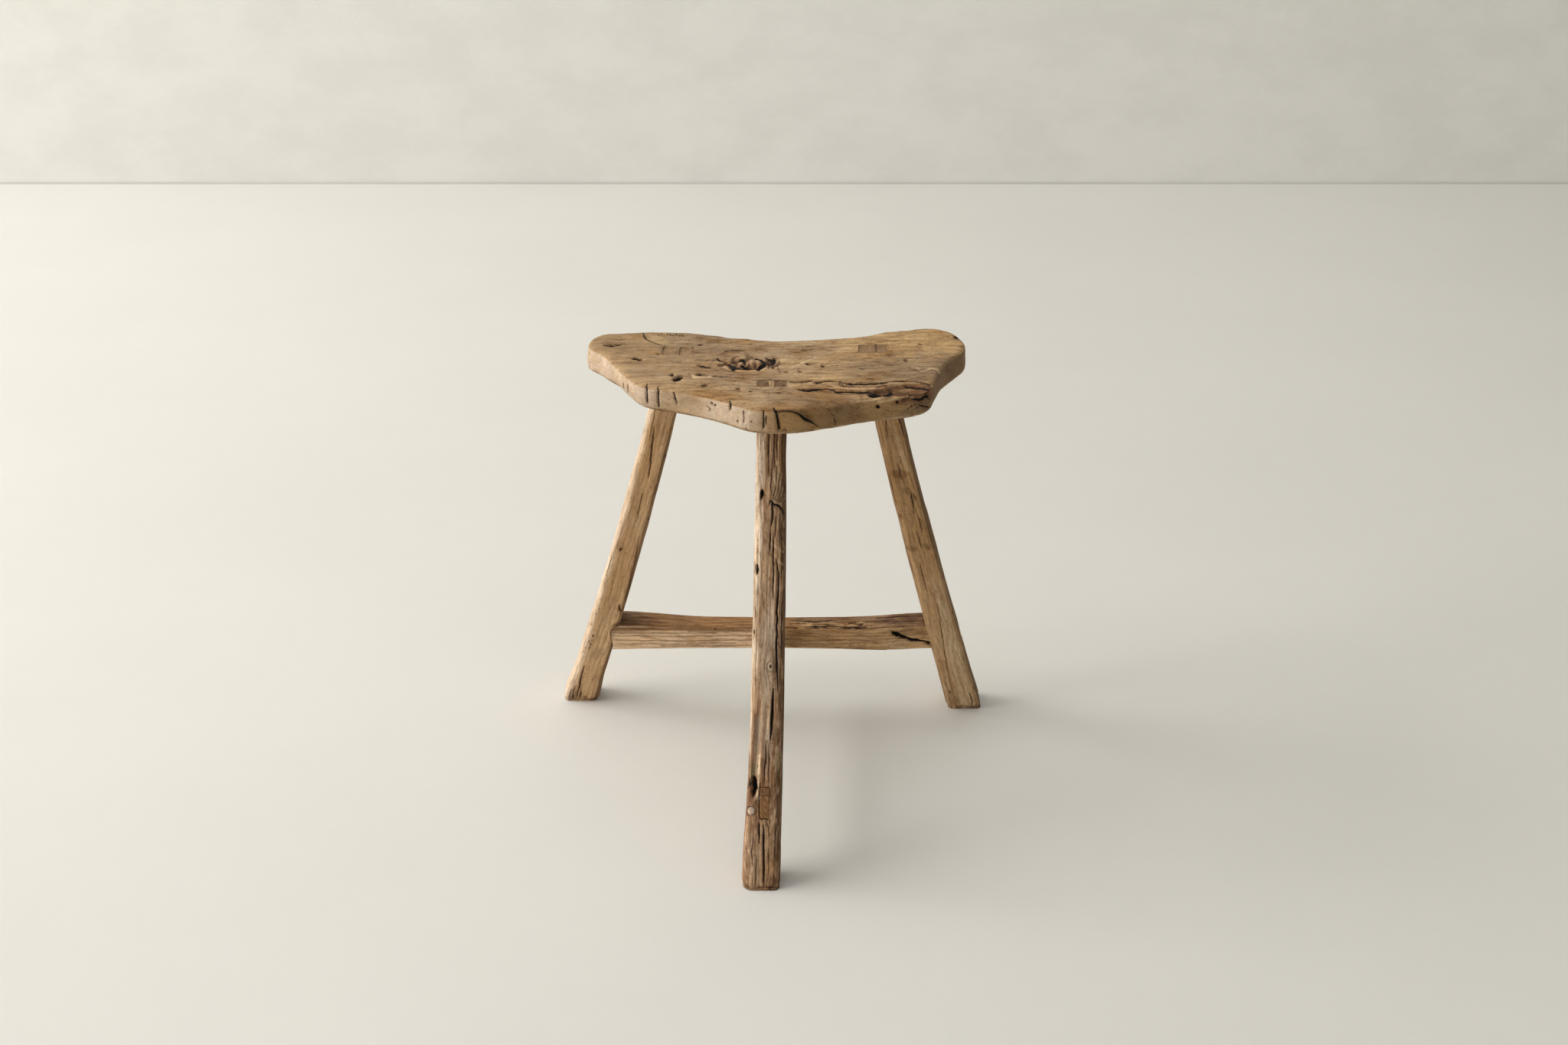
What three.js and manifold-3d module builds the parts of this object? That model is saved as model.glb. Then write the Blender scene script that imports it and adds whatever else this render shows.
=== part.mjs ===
// Wooden milking stool: a bean-shaped seat slab on three splayed legs, tied by a T of two stretchers.
// Millimetres, +Z up. The front leg is towards -Y. The origin is on the floor, under the middle of the stool.

import * as THREE from "three";
import { mergeVertices } from "three/addons/utils/BufferGeometryUtils.js";
import Module from "manifold-3d";

const wasm = await Module();
wasm.setup();

// Space left between two pieces that touch in the real stool.
const GAP = 0.3;

// Seat slab.
const SEAT_TOP = 450;
const SEAT_THICKNESS = 26;
const SEAT_UNDERSIDE = SEAT_TOP - SEAT_THICKNESS;
const SEAT_EDGE_ROUND = 4.5;
const SEAT_OUTLINE_STEPS = 120;

// Seen from above, anticlockwise from the middle of the bulging front edge.
const SEAT_OUTLINE = [
  [12, -87], [45, -79], [76, -65], [108, -55], [134, -46], [149, -34], [156, -10], [167, 28],
  [180, 54], [189, 72], [191, 94], [185, 117], [171, 133], [146, 134], [114, 125], [84, 111],
  [50, 105], [14, 103], [-26, 109], [-70, 122], [-110, 127], [-152, 123], [-176, 114], [-184, 97],
  [-183, 80], [-169, 61], [-156, 34], [-143, 4], [-127, -23], [-98, -37], [-66, -49], [-43, -65],
  [-20, -83],
];

// Legs: axis from the middle of the foot to the middle of the tenon's end, which way the shaft
// bows halfway up, its width at the foot, the knee and the seat, and the tenon's depth.
const LEG_KNEE_HEIGHT = 230;
const LEG_CORNER = 6;
const TENON_WIDTH = 28;

// Any cut or tenon that reaches this far from a leg's axis goes right through the leg.
const LEG_SPAN = 36;
const LEGS = {
  leg_front: { foot: [-10, -185], top: [-0.5, -20], bow: 1.6, widths: [34.5, 31.6, 28.6], tenonDepth: 16 },
  leg_rear_left: { foot: [-215, 181], top: [-94, 66], bow: 4.5, widths: [35, 31.8, 28.8], tenonDepth: 21 },
  leg_rear_right: { foot: [210, 165], top: [98, 74], bow: -3, widths: [38, 32.8, 29.2], tenonDepth: 21 },
};

// Wedges driven into the ends of the seat tenons. They run front to back, across the seat's grain.
const WEDGE_LENGTH = 20;
const WEDGE_TOP_WIDTH = 4.4;
const WEDGE_TIP_WIDTH = 1.2;

// Rear stretcher, between the rear legs. Its tenons go right through them. It is worn thinnest in
// the middle: each profile entry is a share of its length, its depth and its height there.
const REAR_STRETCHER_PROFILE = [
  [0, 32, 32], [0.12, 31.5, 29], [0.3, 30, 27], [0.5, 29, 26.5], [0.75, 30, 28.5], [1, 31, 31],
];
const REAR_STRETCHER_CORNER = 4;
const REAR_STRETCHER_LEFT_HEIGHT = 90;
const REAR_STRETCHER_RIGHT_HEIGHT = 94.5;
const REAR_TENON_THICKNESS = 10;
const REAR_TENON_HEIGHT = 20;

// Middle stretcher, from the rear stretcher's front face through the front leg.
const MIDDLE_STRETCHER_X = -7.4;
const MIDDLE_STRETCHER_WIDTH = 24;
const MIDDLE_STRETCHER_HEIGHT = 25;
const MIDDLE_STRETCHER_CORNER = 4;
const MIDDLE_STRETCHER_FRONT_HEIGHT = 81;
const MIDDLE_STRETCHER_REAR_HEIGHT = 92;
const MIDDLE_TENON_THICKNESS = 9.2;
const FRONT_MORTISE_HEIGHT = 30;
const FRONT_TENON_HEIGHT = 21;
const REAR_STUB_HEIGHT = 16;
const REAR_STUB_LENGTH = 16;

// The filler above the front tenon is this much lower behind the leg than in front of it.
const FILLER_TAPER = 6;

// Peg through the front leg and the tenon in it. It enters at the leg's front left corner and comes
// out at the back right one.
const PEG_DIAMETER = 7.5;
const PEG_HEIGHT = 72;
const PEG_TURN = THREE.MathUtils.degToRad(49);

const X = new THREE.Vector3(1, 0, 0);
const Y = new THREE.Vector3(0, 1, 0);
const Z = new THREE.Vector3(0, 0, 1);

// Geometry in and out of the solid kernel.

function toSolid(geometry) {
  const bare = new THREE.BufferGeometry();
  bare.setAttribute("position", geometry.getAttribute("position"));
  bare.setIndex(geometry.getIndex());
  const merged = mergeVertices(bare, 1e-4);
  const mesh = new wasm.Mesh({
    numProp: 3,
    vertProperties: new Float32Array(merged.getAttribute("position").array),
    triVerts: new Uint32Array(merged.getIndex().array),
  });
  return new wasm.Manifold(mesh);
}

function toGeometry(solid) {
  const mesh = solid.getMesh();
  const geometry = new THREE.BufferGeometry();
  geometry.setAttribute("position", new THREE.BufferAttribute(new Float32Array(mesh.vertProperties), 3));
  geometry.setIndex(new THREE.BufferAttribute(new Uint32Array(mesh.triVerts), 1));
  geometry.computeVertexNormals();
  return geometry;
}

// Beams: closed bodies through rectangular stations. The station's sides lie along u and v,
// and u x v points along the beam.

function ring(station, u, v, corner) {
  const points = [];
  const steps = corner > 0 ? 4 : 0;
  const inset = station.size.map((side) => side / 2 - corner);
  for (let quarter = 0; quarter < 4; quarter++) {
    const signU = quarter === 0 || quarter === 3 ? 1 : -1;
    const signV = quarter < 2 ? 1 : -1;
    for (let step = 0; step <= steps; step++) {
      const angle = (quarter + (steps ? step / steps : 0)) * Math.PI / 2;
      const alongU = signU * inset[0] + corner * Math.cos(angle);
      const alongV = signV * inset[1] + corner * Math.sin(angle);
      points.push(station.at.clone().addScaledVector(u, alongU).addScaledVector(v, alongV));
    }
  }
  return points;
}

function beam(stations, u, v, corner = 0) {
  const rings = stations.map((station) => ring(station, u, v, corner));
  const count = rings[0].length;
  const faces = [];
  for (let level = 0; level < rings.length - 1; level++) {
    for (let i = 0; i < count; i++) {
      const here = level * count + i;
      const next = level * count + (i + 1) % count;
      faces.push(here, next, next + count, here, next + count, here + count);
    }
  }
  const last = (rings.length - 1) * count;
  for (let i = 1; i < count - 1; i++) {
    faces.push(0, i + 1, i, last, last + i, last + i + 1);
  }
  const geometry = new THREE.BufferGeometry();
  geometry.setFromPoints(rings.flat());
  geometry.setIndex(faces);
  return toSolid(geometry);
}

function grown(size, by) {
  return size.map((side) => side + 2 * by);
}

// Seat.

function seatSlab() {
  const corners = SEAT_OUTLINE.map(([x, y]) => new THREE.Vector3(x, y, 0));
  const curve = new THREE.CatmullRomCurve3(corners, true, "centripetal");
  const points = curve.getSpacedPoints(SEAT_OUTLINE_STEPS).slice(0, -1);
  const shape = new THREE.Shape(points.map((p) => new THREE.Vector2(p.x, p.y)));
  const geometry = new THREE.ExtrudeGeometry(shape, {
    depth: SEAT_THICKNESS - 2 * SEAT_EDGE_ROUND,
    bevelThickness: SEAT_EDGE_ROUND,
    bevelSize: SEAT_EDGE_ROUND,
    bevelOffset: -SEAT_EDGE_ROUND,
    bevelSegments: 5,
  });
  geometry.translate(0, 0, SEAT_UNDERSIDE + SEAT_EDGE_ROUND);
  return toSolid(geometry);
}

// Legs.

function legAxis(leg, height) {
  const [footX, footY] = leg.foot;
  const [topX, topY] = leg.top;
  const rise = height / SEAT_TOP;
  const belly = 4 * rise * (1 - rise);
  const x = footX + (topX - footX) * rise + leg.bow * belly;
  const y = footY + (topY - footY) * rise;
  return new THREE.Vector3(x, y, height);
}

function legWidth(leg, height) {
  const [foot, knee, top] = leg.widths;
  if (height < LEG_KNEE_HEIGHT) {
    return THREE.MathUtils.lerp(foot, knee, height / LEG_KNEE_HEIGHT);
  }
  return THREE.MathUtils.mapLinear(height, LEG_KNEE_HEIGHT, SEAT_UNDERSIDE, knee, top);
}

function legStations(leg, sizeAt) {
  const heights = [0, 60, 120, 175, LEG_KNEE_HEIGHT, 280, 330, 380, SEAT_UNDERSIDE - GAP];
  return heights.map((height) => ({ at: legAxis(leg, height), size: sizeAt(legWidth(leg, height)) }));
}

function shaft(leg, by = 0) {
  return beam(legStations(leg, (width) => grown([width, width], by)), X, Y, LEG_CORNER);
}

// What a bar loses to end in a flat shoulder against the leg's inner side.
function shoulderCut(leg) {
  return beam(legStations(leg, (width) => [width + 2 * GAP, 2 * LEG_SPAN]), X, Y);
}

function seatTenon(leg, top, by = 0) {
  const size = grown([TENON_WIDTH, leg.tenonDepth], by);
  const heights = [SEAT_UNDERSIDE - 10, top];
  return beam(heights.map((height) => ({ at: legAxis(leg, height), size })), X, Y);
}

function wedgeStation(leg, height, by, depth) {
  const share = (height - SEAT_TOP + WEDGE_LENGTH) / WEDGE_LENGTH;
  const width = THREE.MathUtils.lerp(WEDGE_TIP_WIDTH, WEDGE_TOP_WIDTH, share);
  return { at: legAxis(leg, height), size: [width + 2 * by, depth] };
}

function seatWedge(leg) {
  const heights = [SEAT_TOP - WEDGE_LENGTH, SEAT_TOP];
  return beam(heights.map((height) => wedgeStation(leg, height, 0, leg.tenonDepth)), X, Y);
}

function kerf(leg) {
  const heights = [SEAT_TOP - WEDGE_LENGTH - GAP, SEAT_TOP + 2];
  return beam(heights.map((height) => wedgeStation(leg, height, GAP, leg.tenonDepth + 4)), X, Y);
}

// Rear stretcher: stations along X.

const leftJoint = legAxis(LEGS.leg_rear_left, REAR_STRETCHER_LEFT_HEIGHT);
const rightJoint = legAxis(LEGS.leg_rear_right, REAR_STRETCHER_RIGHT_HEIGHT);

function rearAxis(share) {
  return leftJoint.clone().lerp(rightJoint, share);
}

function rearBody(by = 0) {
  const stations = REAR_STRETCHER_PROFILE.map(([share, depth, height]) => {
    return { at: rearAxis(share), size: grown([depth, height], by) };
  });
  return beam(stations, Y, Z, REAR_STRETCHER_CORNER);
}

function rearTenons(by = 0) {
  const size = grown([REAR_TENON_THICKNESS, REAR_TENON_HEIGHT], by);
  const reach = LEG_SPAN / (rightJoint.x - leftJoint.x);
  return beam([-reach, 1 + reach].map((share) => ({ at: rearAxis(share), size })), Y, Z);
}

// Middle stretcher: stations along Y.

const frontJointY = legAxis(LEGS.leg_front, MIDDLE_STRETCHER_FRONT_HEIGHT).y;
const rearJointY = rearAxis(0.5).y;
const rearFaceY = rearJointY - REAR_STRETCHER_PROFILE[3][1] / 2;
const frontTenonOffset = (FRONT_TENON_HEIGHT - FRONT_MORTISE_HEIGHT) / 2;

function middleStation(y, offset, height, width) {
  const ends = [MIDDLE_STRETCHER_FRONT_HEIGHT, MIDDLE_STRETCHER_REAR_HEIGHT];
  const z = THREE.MathUtils.mapLinear(y, frontJointY, rearJointY, ...ends) + offset;
  return { at: new THREE.Vector3(MIDDLE_STRETCHER_X, y, z), size: [height, width] };
}

function middleBeam(fromY, toY, offset, height, width, corner = 0) {
  const stations = [fromY, toY].map((y) => middleStation(y, offset, height, width));
  return beam(stations, Z, X, corner);
}

function middleBody() {
  const size = [MIDDLE_STRETCHER_HEIGHT, MIDDLE_STRETCHER_WIDTH];
  return middleBeam(frontJointY, rearJointY, 0, ...size, MIDDLE_STRETCHER_CORNER);
}

function frontTenon(by = 0) {
  const size = grown([FRONT_TENON_HEIGHT, MIDDLE_TENON_THICKNESS], by);
  return middleBeam(frontJointY - LEG_SPAN, frontJointY + LEG_SPAN, frontTenonOffset, ...size);
}

function rearStub(by = 0) {
  const size = grown([REAR_STUB_HEIGHT, MIDDLE_TENON_THICKNESS], by);
  return middleBeam(rearFaceY - REAR_STUB_LENGTH, rearFaceY + REAR_STUB_LENGTH + by, 0, ...size);
}

// The filler sits on the front tenon. Its top slopes down towards the back of the leg.
function filler(by = 0) {
  const floor = frontTenonOffset + FRONT_TENON_HEIGHT / 2 + GAP;
  const stations = [-LEG_SPAN, LEG_SPAN].map((along) => {
    const roof = FRONT_MORTISE_HEIGHT / 2 - FILLER_TAPER * (along / LEG_SPAN + 1) / 2;
    const size = grown([roof - floor, MIDDLE_TENON_THICKNESS], by);
    return middleStation(frontJointY + along, (roof + floor) / 2, ...size);
  });
  return beam(stations, Z, X);
}

// Peg.

function peg(by = 0) {
  const centre = legAxis(LEGS.leg_front, PEG_HEIGHT);
  const radius = PEG_DIAMETER / 2 + by;
  const geometry = new THREE.CylinderGeometry(radius, radius, 2 * LEG_SPAN, 28);
  geometry.rotateZ(Math.PI / 2 + PEG_TURN);
  geometry.translate(centre.x, centre.y, centre.z);
  return toSolid(geometry);
}

// Pieces.

function seat() {
  let solid = seatSlab();
  for (const leg of Object.values(LEGS)) {
    solid = solid.subtract(seatTenon(leg, SEAT_TOP + 10, GAP));
  }
  return solid;
}

function legBlank(leg) {
  return shaft(leg).add(seatTenon(leg, SEAT_TOP)).subtract(kerf(leg));
}

function frontLeg() {
  return legBlank(LEGS.leg_front).subtract(frontTenon(GAP)).subtract(filler(GAP)).subtract(peg(GAP));
}

function rearLeg(leg) {
  return legBlank(leg).subtract(rearTenons(GAP));
}

function rearStretcher() {
  const legs = [LEGS.leg_rear_left, LEGS.leg_rear_right];
  const body = legs.reduce((bar, leg) => bar.subtract(shoulderCut(leg)), rearBody());
  const inside = legs.reduce((solid, leg) => solid.add(shaft(leg)), rearBody());
  return body.add(rearTenons().intersect(inside)).subtract(rearStub(GAP));
}

function middleStretcher() {
  const body = middleBody().subtract(shaft(LEGS.leg_front, GAP)).subtract(rearBody(GAP));
  const tenon = frontTenon().intersect(shaft(LEGS.leg_front).add(middleBody()));
  return body.add(tenon).add(rearStub()).subtract(peg(GAP));
}

const PIECES = [
  ["seat", seat(), "seat_wood"],
  ["leg_front", frontLeg(), "leg_wood"],
  ["leg_rear_left", rearLeg(LEGS.leg_rear_left), "leg_wood"],
  ["leg_rear_right", rearLeg(LEGS.leg_rear_right), "leg_wood"],
  ["stretcher_rear", rearStretcher(), "stretcher_wood"],
  ["stretcher_middle", middleStretcher(), "stretcher_wood"],
  ["wedge_front", seatWedge(LEGS.leg_front), "wedge_wood"],
  ["wedge_rear_left", seatWedge(LEGS.leg_rear_left), "wedge_wood"],
  ["wedge_rear_right", seatWedge(LEGS.leg_rear_right), "wedge_wood"],
  ["wedge_stretcher_front", filler().intersect(shaft(LEGS.leg_front)), "wedge_wood"],
  ["peg_front", peg().intersect(shaft(LEGS.leg_front)), "peg_wood"],
];

const WOODS = {
  seat_wood: { color: 0x9c8262, roughness: 0.82 },
  leg_wood: { color: 0xa98a66, roughness: 0.8 },
  stretcher_wood: { color: 0x9a7c5b, roughness: 0.85 },
  wedge_wood: { color: 0xb09068, roughness: 0.8 },
  peg_wood: { color: 0xcbb08a, roughness: 0.75 },
};

const group = new THREE.Group();
for (const [name, solid, wood] of PIECES) {
  const material = new THREE.MeshStandardMaterial({ ...WOODS[wood], metalness: 0 });
  const mesh = new THREE.Mesh(toGeometry(solid), material);
  mesh.name = name;
  group.add(mesh);
}

// The origin goes under the middle of the whole stool's box.
const middle = new THREE.Box3().setFromObject(group).getCenter(new THREE.Vector3());
for (const mesh of group.children) {
  mesh.geometry.translate(-middle.x, -middle.y, 0);
}

export default group;
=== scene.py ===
"""An old wooden milking stool: worn seat slab, three splayed legs and two stretchers.

Each CAD piece is remeshed finely, then weathered: cracks, worm holes, chops, knots and worn edges
are cut into its surface, and the same features are stored on the mesh for its wood material.
Shapes are worked in millimetres, in a frame of each piece's own, and placed in metres.
"""

import itertools
import math

import bpy
import numpy as np
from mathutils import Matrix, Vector


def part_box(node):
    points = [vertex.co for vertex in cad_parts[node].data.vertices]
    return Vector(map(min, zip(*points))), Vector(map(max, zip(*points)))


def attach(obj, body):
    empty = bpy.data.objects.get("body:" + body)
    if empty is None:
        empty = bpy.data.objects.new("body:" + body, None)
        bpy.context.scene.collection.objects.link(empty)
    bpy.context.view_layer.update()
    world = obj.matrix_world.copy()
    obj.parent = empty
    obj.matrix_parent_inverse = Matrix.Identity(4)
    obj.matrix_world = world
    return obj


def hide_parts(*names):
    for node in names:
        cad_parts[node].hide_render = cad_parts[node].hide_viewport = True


MM = 0.001
X, Y, Z = 0, 1, 2

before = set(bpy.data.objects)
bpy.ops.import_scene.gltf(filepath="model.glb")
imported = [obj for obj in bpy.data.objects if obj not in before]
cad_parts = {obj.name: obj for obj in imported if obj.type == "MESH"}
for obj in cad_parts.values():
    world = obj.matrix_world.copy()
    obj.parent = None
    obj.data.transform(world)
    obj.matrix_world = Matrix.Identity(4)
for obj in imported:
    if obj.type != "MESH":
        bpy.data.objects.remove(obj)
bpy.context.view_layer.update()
scene = bpy.context.scene
scene.view_settings.view_transform = "Standard"


def vectors(collection, field):
    """A mesh collection's vectors, one to a row."""
    values = np.empty(len(collection) * 3, np.float32)
    collection.foreach_get(field, values)
    return values.reshape(-1, 3).astype(float)


def cad_points(node):
    """A CAD node's corners, in millimetres."""
    return vectors(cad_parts[node].data.vertices, "co") / MM


def add_object(name, data):
    made = bpy.data.objects.new(name, data)
    scene.collection.objects.link(made)
    return made


# ---------------------------------------------------------------- numbers and noise

def smooth(low, high, value):
    """0 below low, 1 above high and an even curve between. High may be the lower of the two."""
    share = np.clip((value - low) / (high - low), 0, 1)
    return share * share * (3 - 2 * share)


def lattice(cell, seed):
    """A fixed value between -1 and 1 for each whole-numbered cell."""
    mixed = cell[:, X] * 73856093 ^ cell[:, Y] * 19349663 ^ cell[:, Z] * 83492791 ^ seed * 2654435
    mixed = (mixed ^ mixed >> 13) * 1274126177 & 0x7FFFFFFF
    mixed = (mixed ^ mixed >> 15) * 1103515245 & 0x7FFFFFFF
    return mixed / 0x3FFFFFFF - 1


def lumps(points, size, seed, octaves=1):
    """Smooth noise between about -1 and 1, whose lumps are size millimetres along each axis."""
    total = np.zeros(len(points))
    weight = 1.0
    place = points / np.array(size, float)
    for octave in range(octaves):
        cell = np.floor(place).astype(np.int64)
        share = place - cell
        share = share * share * (3 - 2 * share)
        for corner in itertools.product((0, 1), repeat=3):
            near = np.prod(np.where(corner, share, 1 - share), axis=1)
            total += weight * near * lattice(cell + corner, seed + 31 * octave)
        place = place * 2
        weight = weight / 2
    return total


def line_distance(places, line):
    """Signed distance from each place to a drawn line, and the share of the line's length there."""
    line = np.array(line, float)
    steps = np.diff(line, axis=0)
    lengths = np.linalg.norm(steps, axis=1)
    starts = np.concatenate([[0], np.cumsum(lengths)])
    best = np.full(len(places), 1e9)
    signed = np.full(len(places), 1e9)
    share = np.zeros(len(places))
    for start, step, length, run in zip(line, steps, lengths, starts):
        offset = places - start
        along = np.clip(offset @ step / length ** 2, 0, 1)
        away = offset - along[:, None] * step
        distance = np.hypot(away[:, 0], away[:, 1])
        closer = distance < best
        side = np.sign(step[0] * offset[:, 1] - step[1] * offset[:, 0])
        best = np.where(closer, distance, best)
        signed = np.where(closer, distance * np.where(side == 0, 1, side), signed)
        share = np.where(closer, (run + along * length) / starts[-1], share)
    return signed, share


# ---------------------------------------------------------------- blocks of wood

# Each face of a block: the two axes it is drawn on, the axis it faces and which way.
FACES = {
    "top": ((X, Y), Z, 1),
    "under": ((X, Y), Z, -1),
    "front": ((X, Z), Y, -1),
    "back": ((X, Z), Y, 1),
    "left": ((Y, Z), X, -1),
    "right": ((Y, Z), X, 1),
}

# What a point away from every crack and hole holds: its distance from the nearest crack's line, and
# how far it is inside a crack's or hole's edge. A crack's own values reach this far past its edge.
AWAY = 9.0
FAR = -6.0
CRACK_REACH = 3

# Pieces of one material are cut from places in its wood this far apart.
CUT_SPACING = 97.0


class Block:
    """One CAD piece, remeshed so that its surface can be worked. All in millimetres.

    grain is the axis that the wood's fibres follow and across the axis they are seen across.
    bend gives the piece's middle line as an offset for each place along the grain, so that the
    block's own frame is straight.
    """

    def __init__(self, node, grain, across, voxel, stretch, colour, seed, bend=None):
        self.node = node
        self.grain_axis = grain
        self.across_axis = across
        self.bend = bend or (lambda along: np.zeros((len(along), 3)))
        self.seed = seed
        self.mesh = self.remesh(voxel, stretch)
        count = len(self.mesh.vertices)
        self.points = vectors(self.mesh.vertices, "co")
        self.normals = vectors(self.mesh.vertex_normals, "vector")
        self.points[:, grain] *= stretch
        self.normals[:, grain] /= stretch
        self.normals /= np.linalg.norm(self.normals, axis=1)[:, None]
        depth_axis = 3 - grain - across
        self.grain = self.points[:, [grain, across, depth_axis]].copy()
        self.depth = np.zeros(count)
        self.crack_side = np.full(count, AWAY)
        self.crack_width = np.full(count, FAR)
        self.hole = np.full(count, FAR)
        self.dirt_and_shade = np.zeros(count)
        self.calm = np.zeros(count)
        self.colour = np.tile(np.array(colour, float), (count, 1))
        self.wander = self.wobble(7, 51)
        self.shiver = self.wobble(4, 61)
        self.torn = lumps(self.points, (9, 9, 9), self.seed + 40, 3)

    def wobble(self, size, salt):
        """Two-way noise that keeps drawn cracks and holes from looking ruled."""
        ways = [lumps(self.points, (size,) * 3, self.seed + salt + way, 2) for way in (0, 1)]
        return np.stack(ways, axis=1)

    def remesh(self, voxel, stretch):
        """The node's mesh in the block's frame, squeezed along the grain and remeshed."""
        points = cad_points(self.node)
        points -= self.bend(points[:, self.grain_axis])
        points[:, self.grain_axis] /= stretch
        faces = [list(face.vertices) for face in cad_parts[self.node].data.polygons]
        rough = bpy.data.meshes.new("rough")
        rough.from_pydata(points.tolist(), [], faces)
        blank = add_object("blank", rough)
        modifier = blank.modifiers.new("fine", "REMESH")
        modifier.mode = "VOXEL"
        modifier.voxel_size = voxel
        fine = blank.evaluated_get(bpy.context.evaluated_depsgraph_get())
        mesh = bpy.data.meshes.new_from_object(fine)
        bpy.data.objects.remove(blank)
        bpy.data.meshes.remove(rough)
        return mesh

    def on(self, face):
        return self.points[:, list(FACES[face][0])]

    def facing(self, face):
        """1 where the surface faces that way, 0 where it doesn't, smooth between."""
        _, axis, way = FACES[face]
        return smooth(0.2, 0.6, self.normals[:, axis] * way)

    def noise(self, size, salt, octaves=1):
        """Lumps of the given size along the grain, across it and through the wood."""
        return lumps(self.grain, size, self.seed + salt, octaves)

    def patch(self, face, centre, size, soft=0.35, ragged=0.25):
        """A soft-edged oval on one face, ragged by noise: 1 inside, 0 outside."""
        offset = (self.on(face) - np.array(centre, float)) / (np.array(size, float) / 2)
        radius = np.hypot(offset[:, 0], offset[:, 1]) + ragged * self.torn
        return smooth(1 + soft, 1 - soft, radius) * self.facing(face)

    def tint(self, mask, colour):
        """Blend the wood's own colour towards another."""
        self.colour += mask[:, None] * (np.array(colour) - self.colour)

    def streak(self, face, line, width, colour, strength=0.8, wander=0.4):
        """Paint a thin line, such as a scratch or a raised fibre."""
        side, _ = line_distance(self.on(face) + wander * self.wander, line)
        self.tint(strength * smooth(width, 0.3 * width, np.abs(side)) * self.facing(face), colour)

    # Darken the wood: real dirt in places, painted shade and shadow in others.
    def soil_and_shade(self, mask):
        self.dirt_and_shade = np.maximum(self.dirt_and_shade, mask)

    def smoothen(self, mask):
        """Quieten the wood's own marks: 0 leaves them all, 1 takes them all away."""
        self.calm = np.maximum(self.calm, mask)

    def crack(self, face, line, width, depth, wander=0.5, blunt=False):
        """Open a crack along a line drawn on a face. A blunt one keeps its width to its ends."""
        place = self.on(face) + wander * self.wander
        side, share = line_distance(place, line)
        taper = np.ones(len(share)) if blunt else np.sqrt(np.clip(4 * share * (1 - share), 0, 1))
        half = 0.5 * width * taper
        near = np.abs(side)
        facing = self.facing(face)
        opened = smooth(half + 1.0, 0.2 * half, near) * facing * taper
        self.depth = np.maximum(self.depth, depth * opened)
        past_end = (share <= 0) | (share >= 1)
        half = np.where((near > CRACK_REACH + half) | past_end | (facing < 0.5), FAR, half)
        wins = half - near > self.crack_width - np.abs(self.crack_side)
        self.crack_side = np.where(wins, side, self.crack_side)
        self.crack_width = np.where(wins, half, self.crack_width)

    def pit(self, face, centre, size, depth, turn=0, ragged=0.5):
        """Sink a hole, size across its two ways, turned by an angle in degrees. The wood material paints it
        near black as shade.
        """
        offset = self.on(face) - np.array(centre, float) + ragged * self.shiver
        angle = math.radians(turn)
        turned = np.stack([
            offset[:, 0] * math.cos(angle) + offset[:, 1] * math.sin(angle),
            offset[:, 1] * math.cos(angle) - offset[:, 0] * math.sin(angle),
        ], axis=1)
        radius = np.hypot(*(turned / (np.array(size) / 2)).T)
        facing = self.facing(face)
        self.depth = np.maximum(self.depth, depth * facing * smooth(1.3, 0.5, radius))
        inside = np.clip((1 - radius) * min(size) / 2, FAR, 2)
        self.hole = np.maximum(self.hole, np.where(facing > 0.4, inside, FAR))

    def cracks(self, face, drawn):
        """Open several cracks on one face: each is what crack takes after the face."""
        for each in drawn:
            self.crack(face, *each)

    def pits(self, face, drawn):
        """Sink several holes in one face: each is what pit takes after the face."""
        for each in drawn:
            self.pit(face, *each)

    def streaks(self, face, drawn):
        """Paint several lines on one face: each is what streak takes after the face."""
        for each in drawn:
            self.streak(face, *each)

    def swirl(self, face, centre, size, strength=0.9):
        """Part the fibres round a knot, so that they flow past it on both sides."""
        offset = (self.on(face) - np.array(centre, float)) / (np.array(size, float) / 2)
        pull = strength * np.exp(-(offset ** 2).sum(axis=1)) * self.facing(face)
        middle = centre[1] if FACES[face][0][1] == self.across_axis else centre[0]
        self.grain[:, 1] -= pull * (self.grain[:, 1] - middle)

    def place(self, name, slot, material):
        """Sink the surface by its depth, and put the finished piece in the stool."""
        self.points = self.points - self.normals * self.depth[:, None]
        placed = self.points + self.bend(self.points[:, self.grain_axis])
        self.mesh.vertices.foreach_set("co", (placed * MM).astype(np.float32).ravel())
        self.store("grain", "FLOAT_VECTOR", "vector", self.grain + CUT_SPACING * self.seed)
        self.store("wood", "FLOAT_COLOR", "color", np.c_[self.colour, np.ones(len(self.colour))])
        for field in ("crack_side", "crack_width", "hole", "dirt_and_shade", "calm"):
            self.store(field, "FLOAT", "value", getattr(self, field))
        self.mesh.shade_smooth()
        self.mesh.update()
        self.mesh.materials.clear()
        self.mesh.materials.append(material)
        piece = add_object(name, self.mesh)
        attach(piece, "root")
        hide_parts(self.node)
        return piece

    def store(self, name, kind, field, values):
        layer = self.mesh.attributes.new(name, kind, "POINT")
        layer.data.foreach_set(field, values.astype(np.float32).ravel())


# ---------------------------------------------------------------- wood materials

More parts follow.
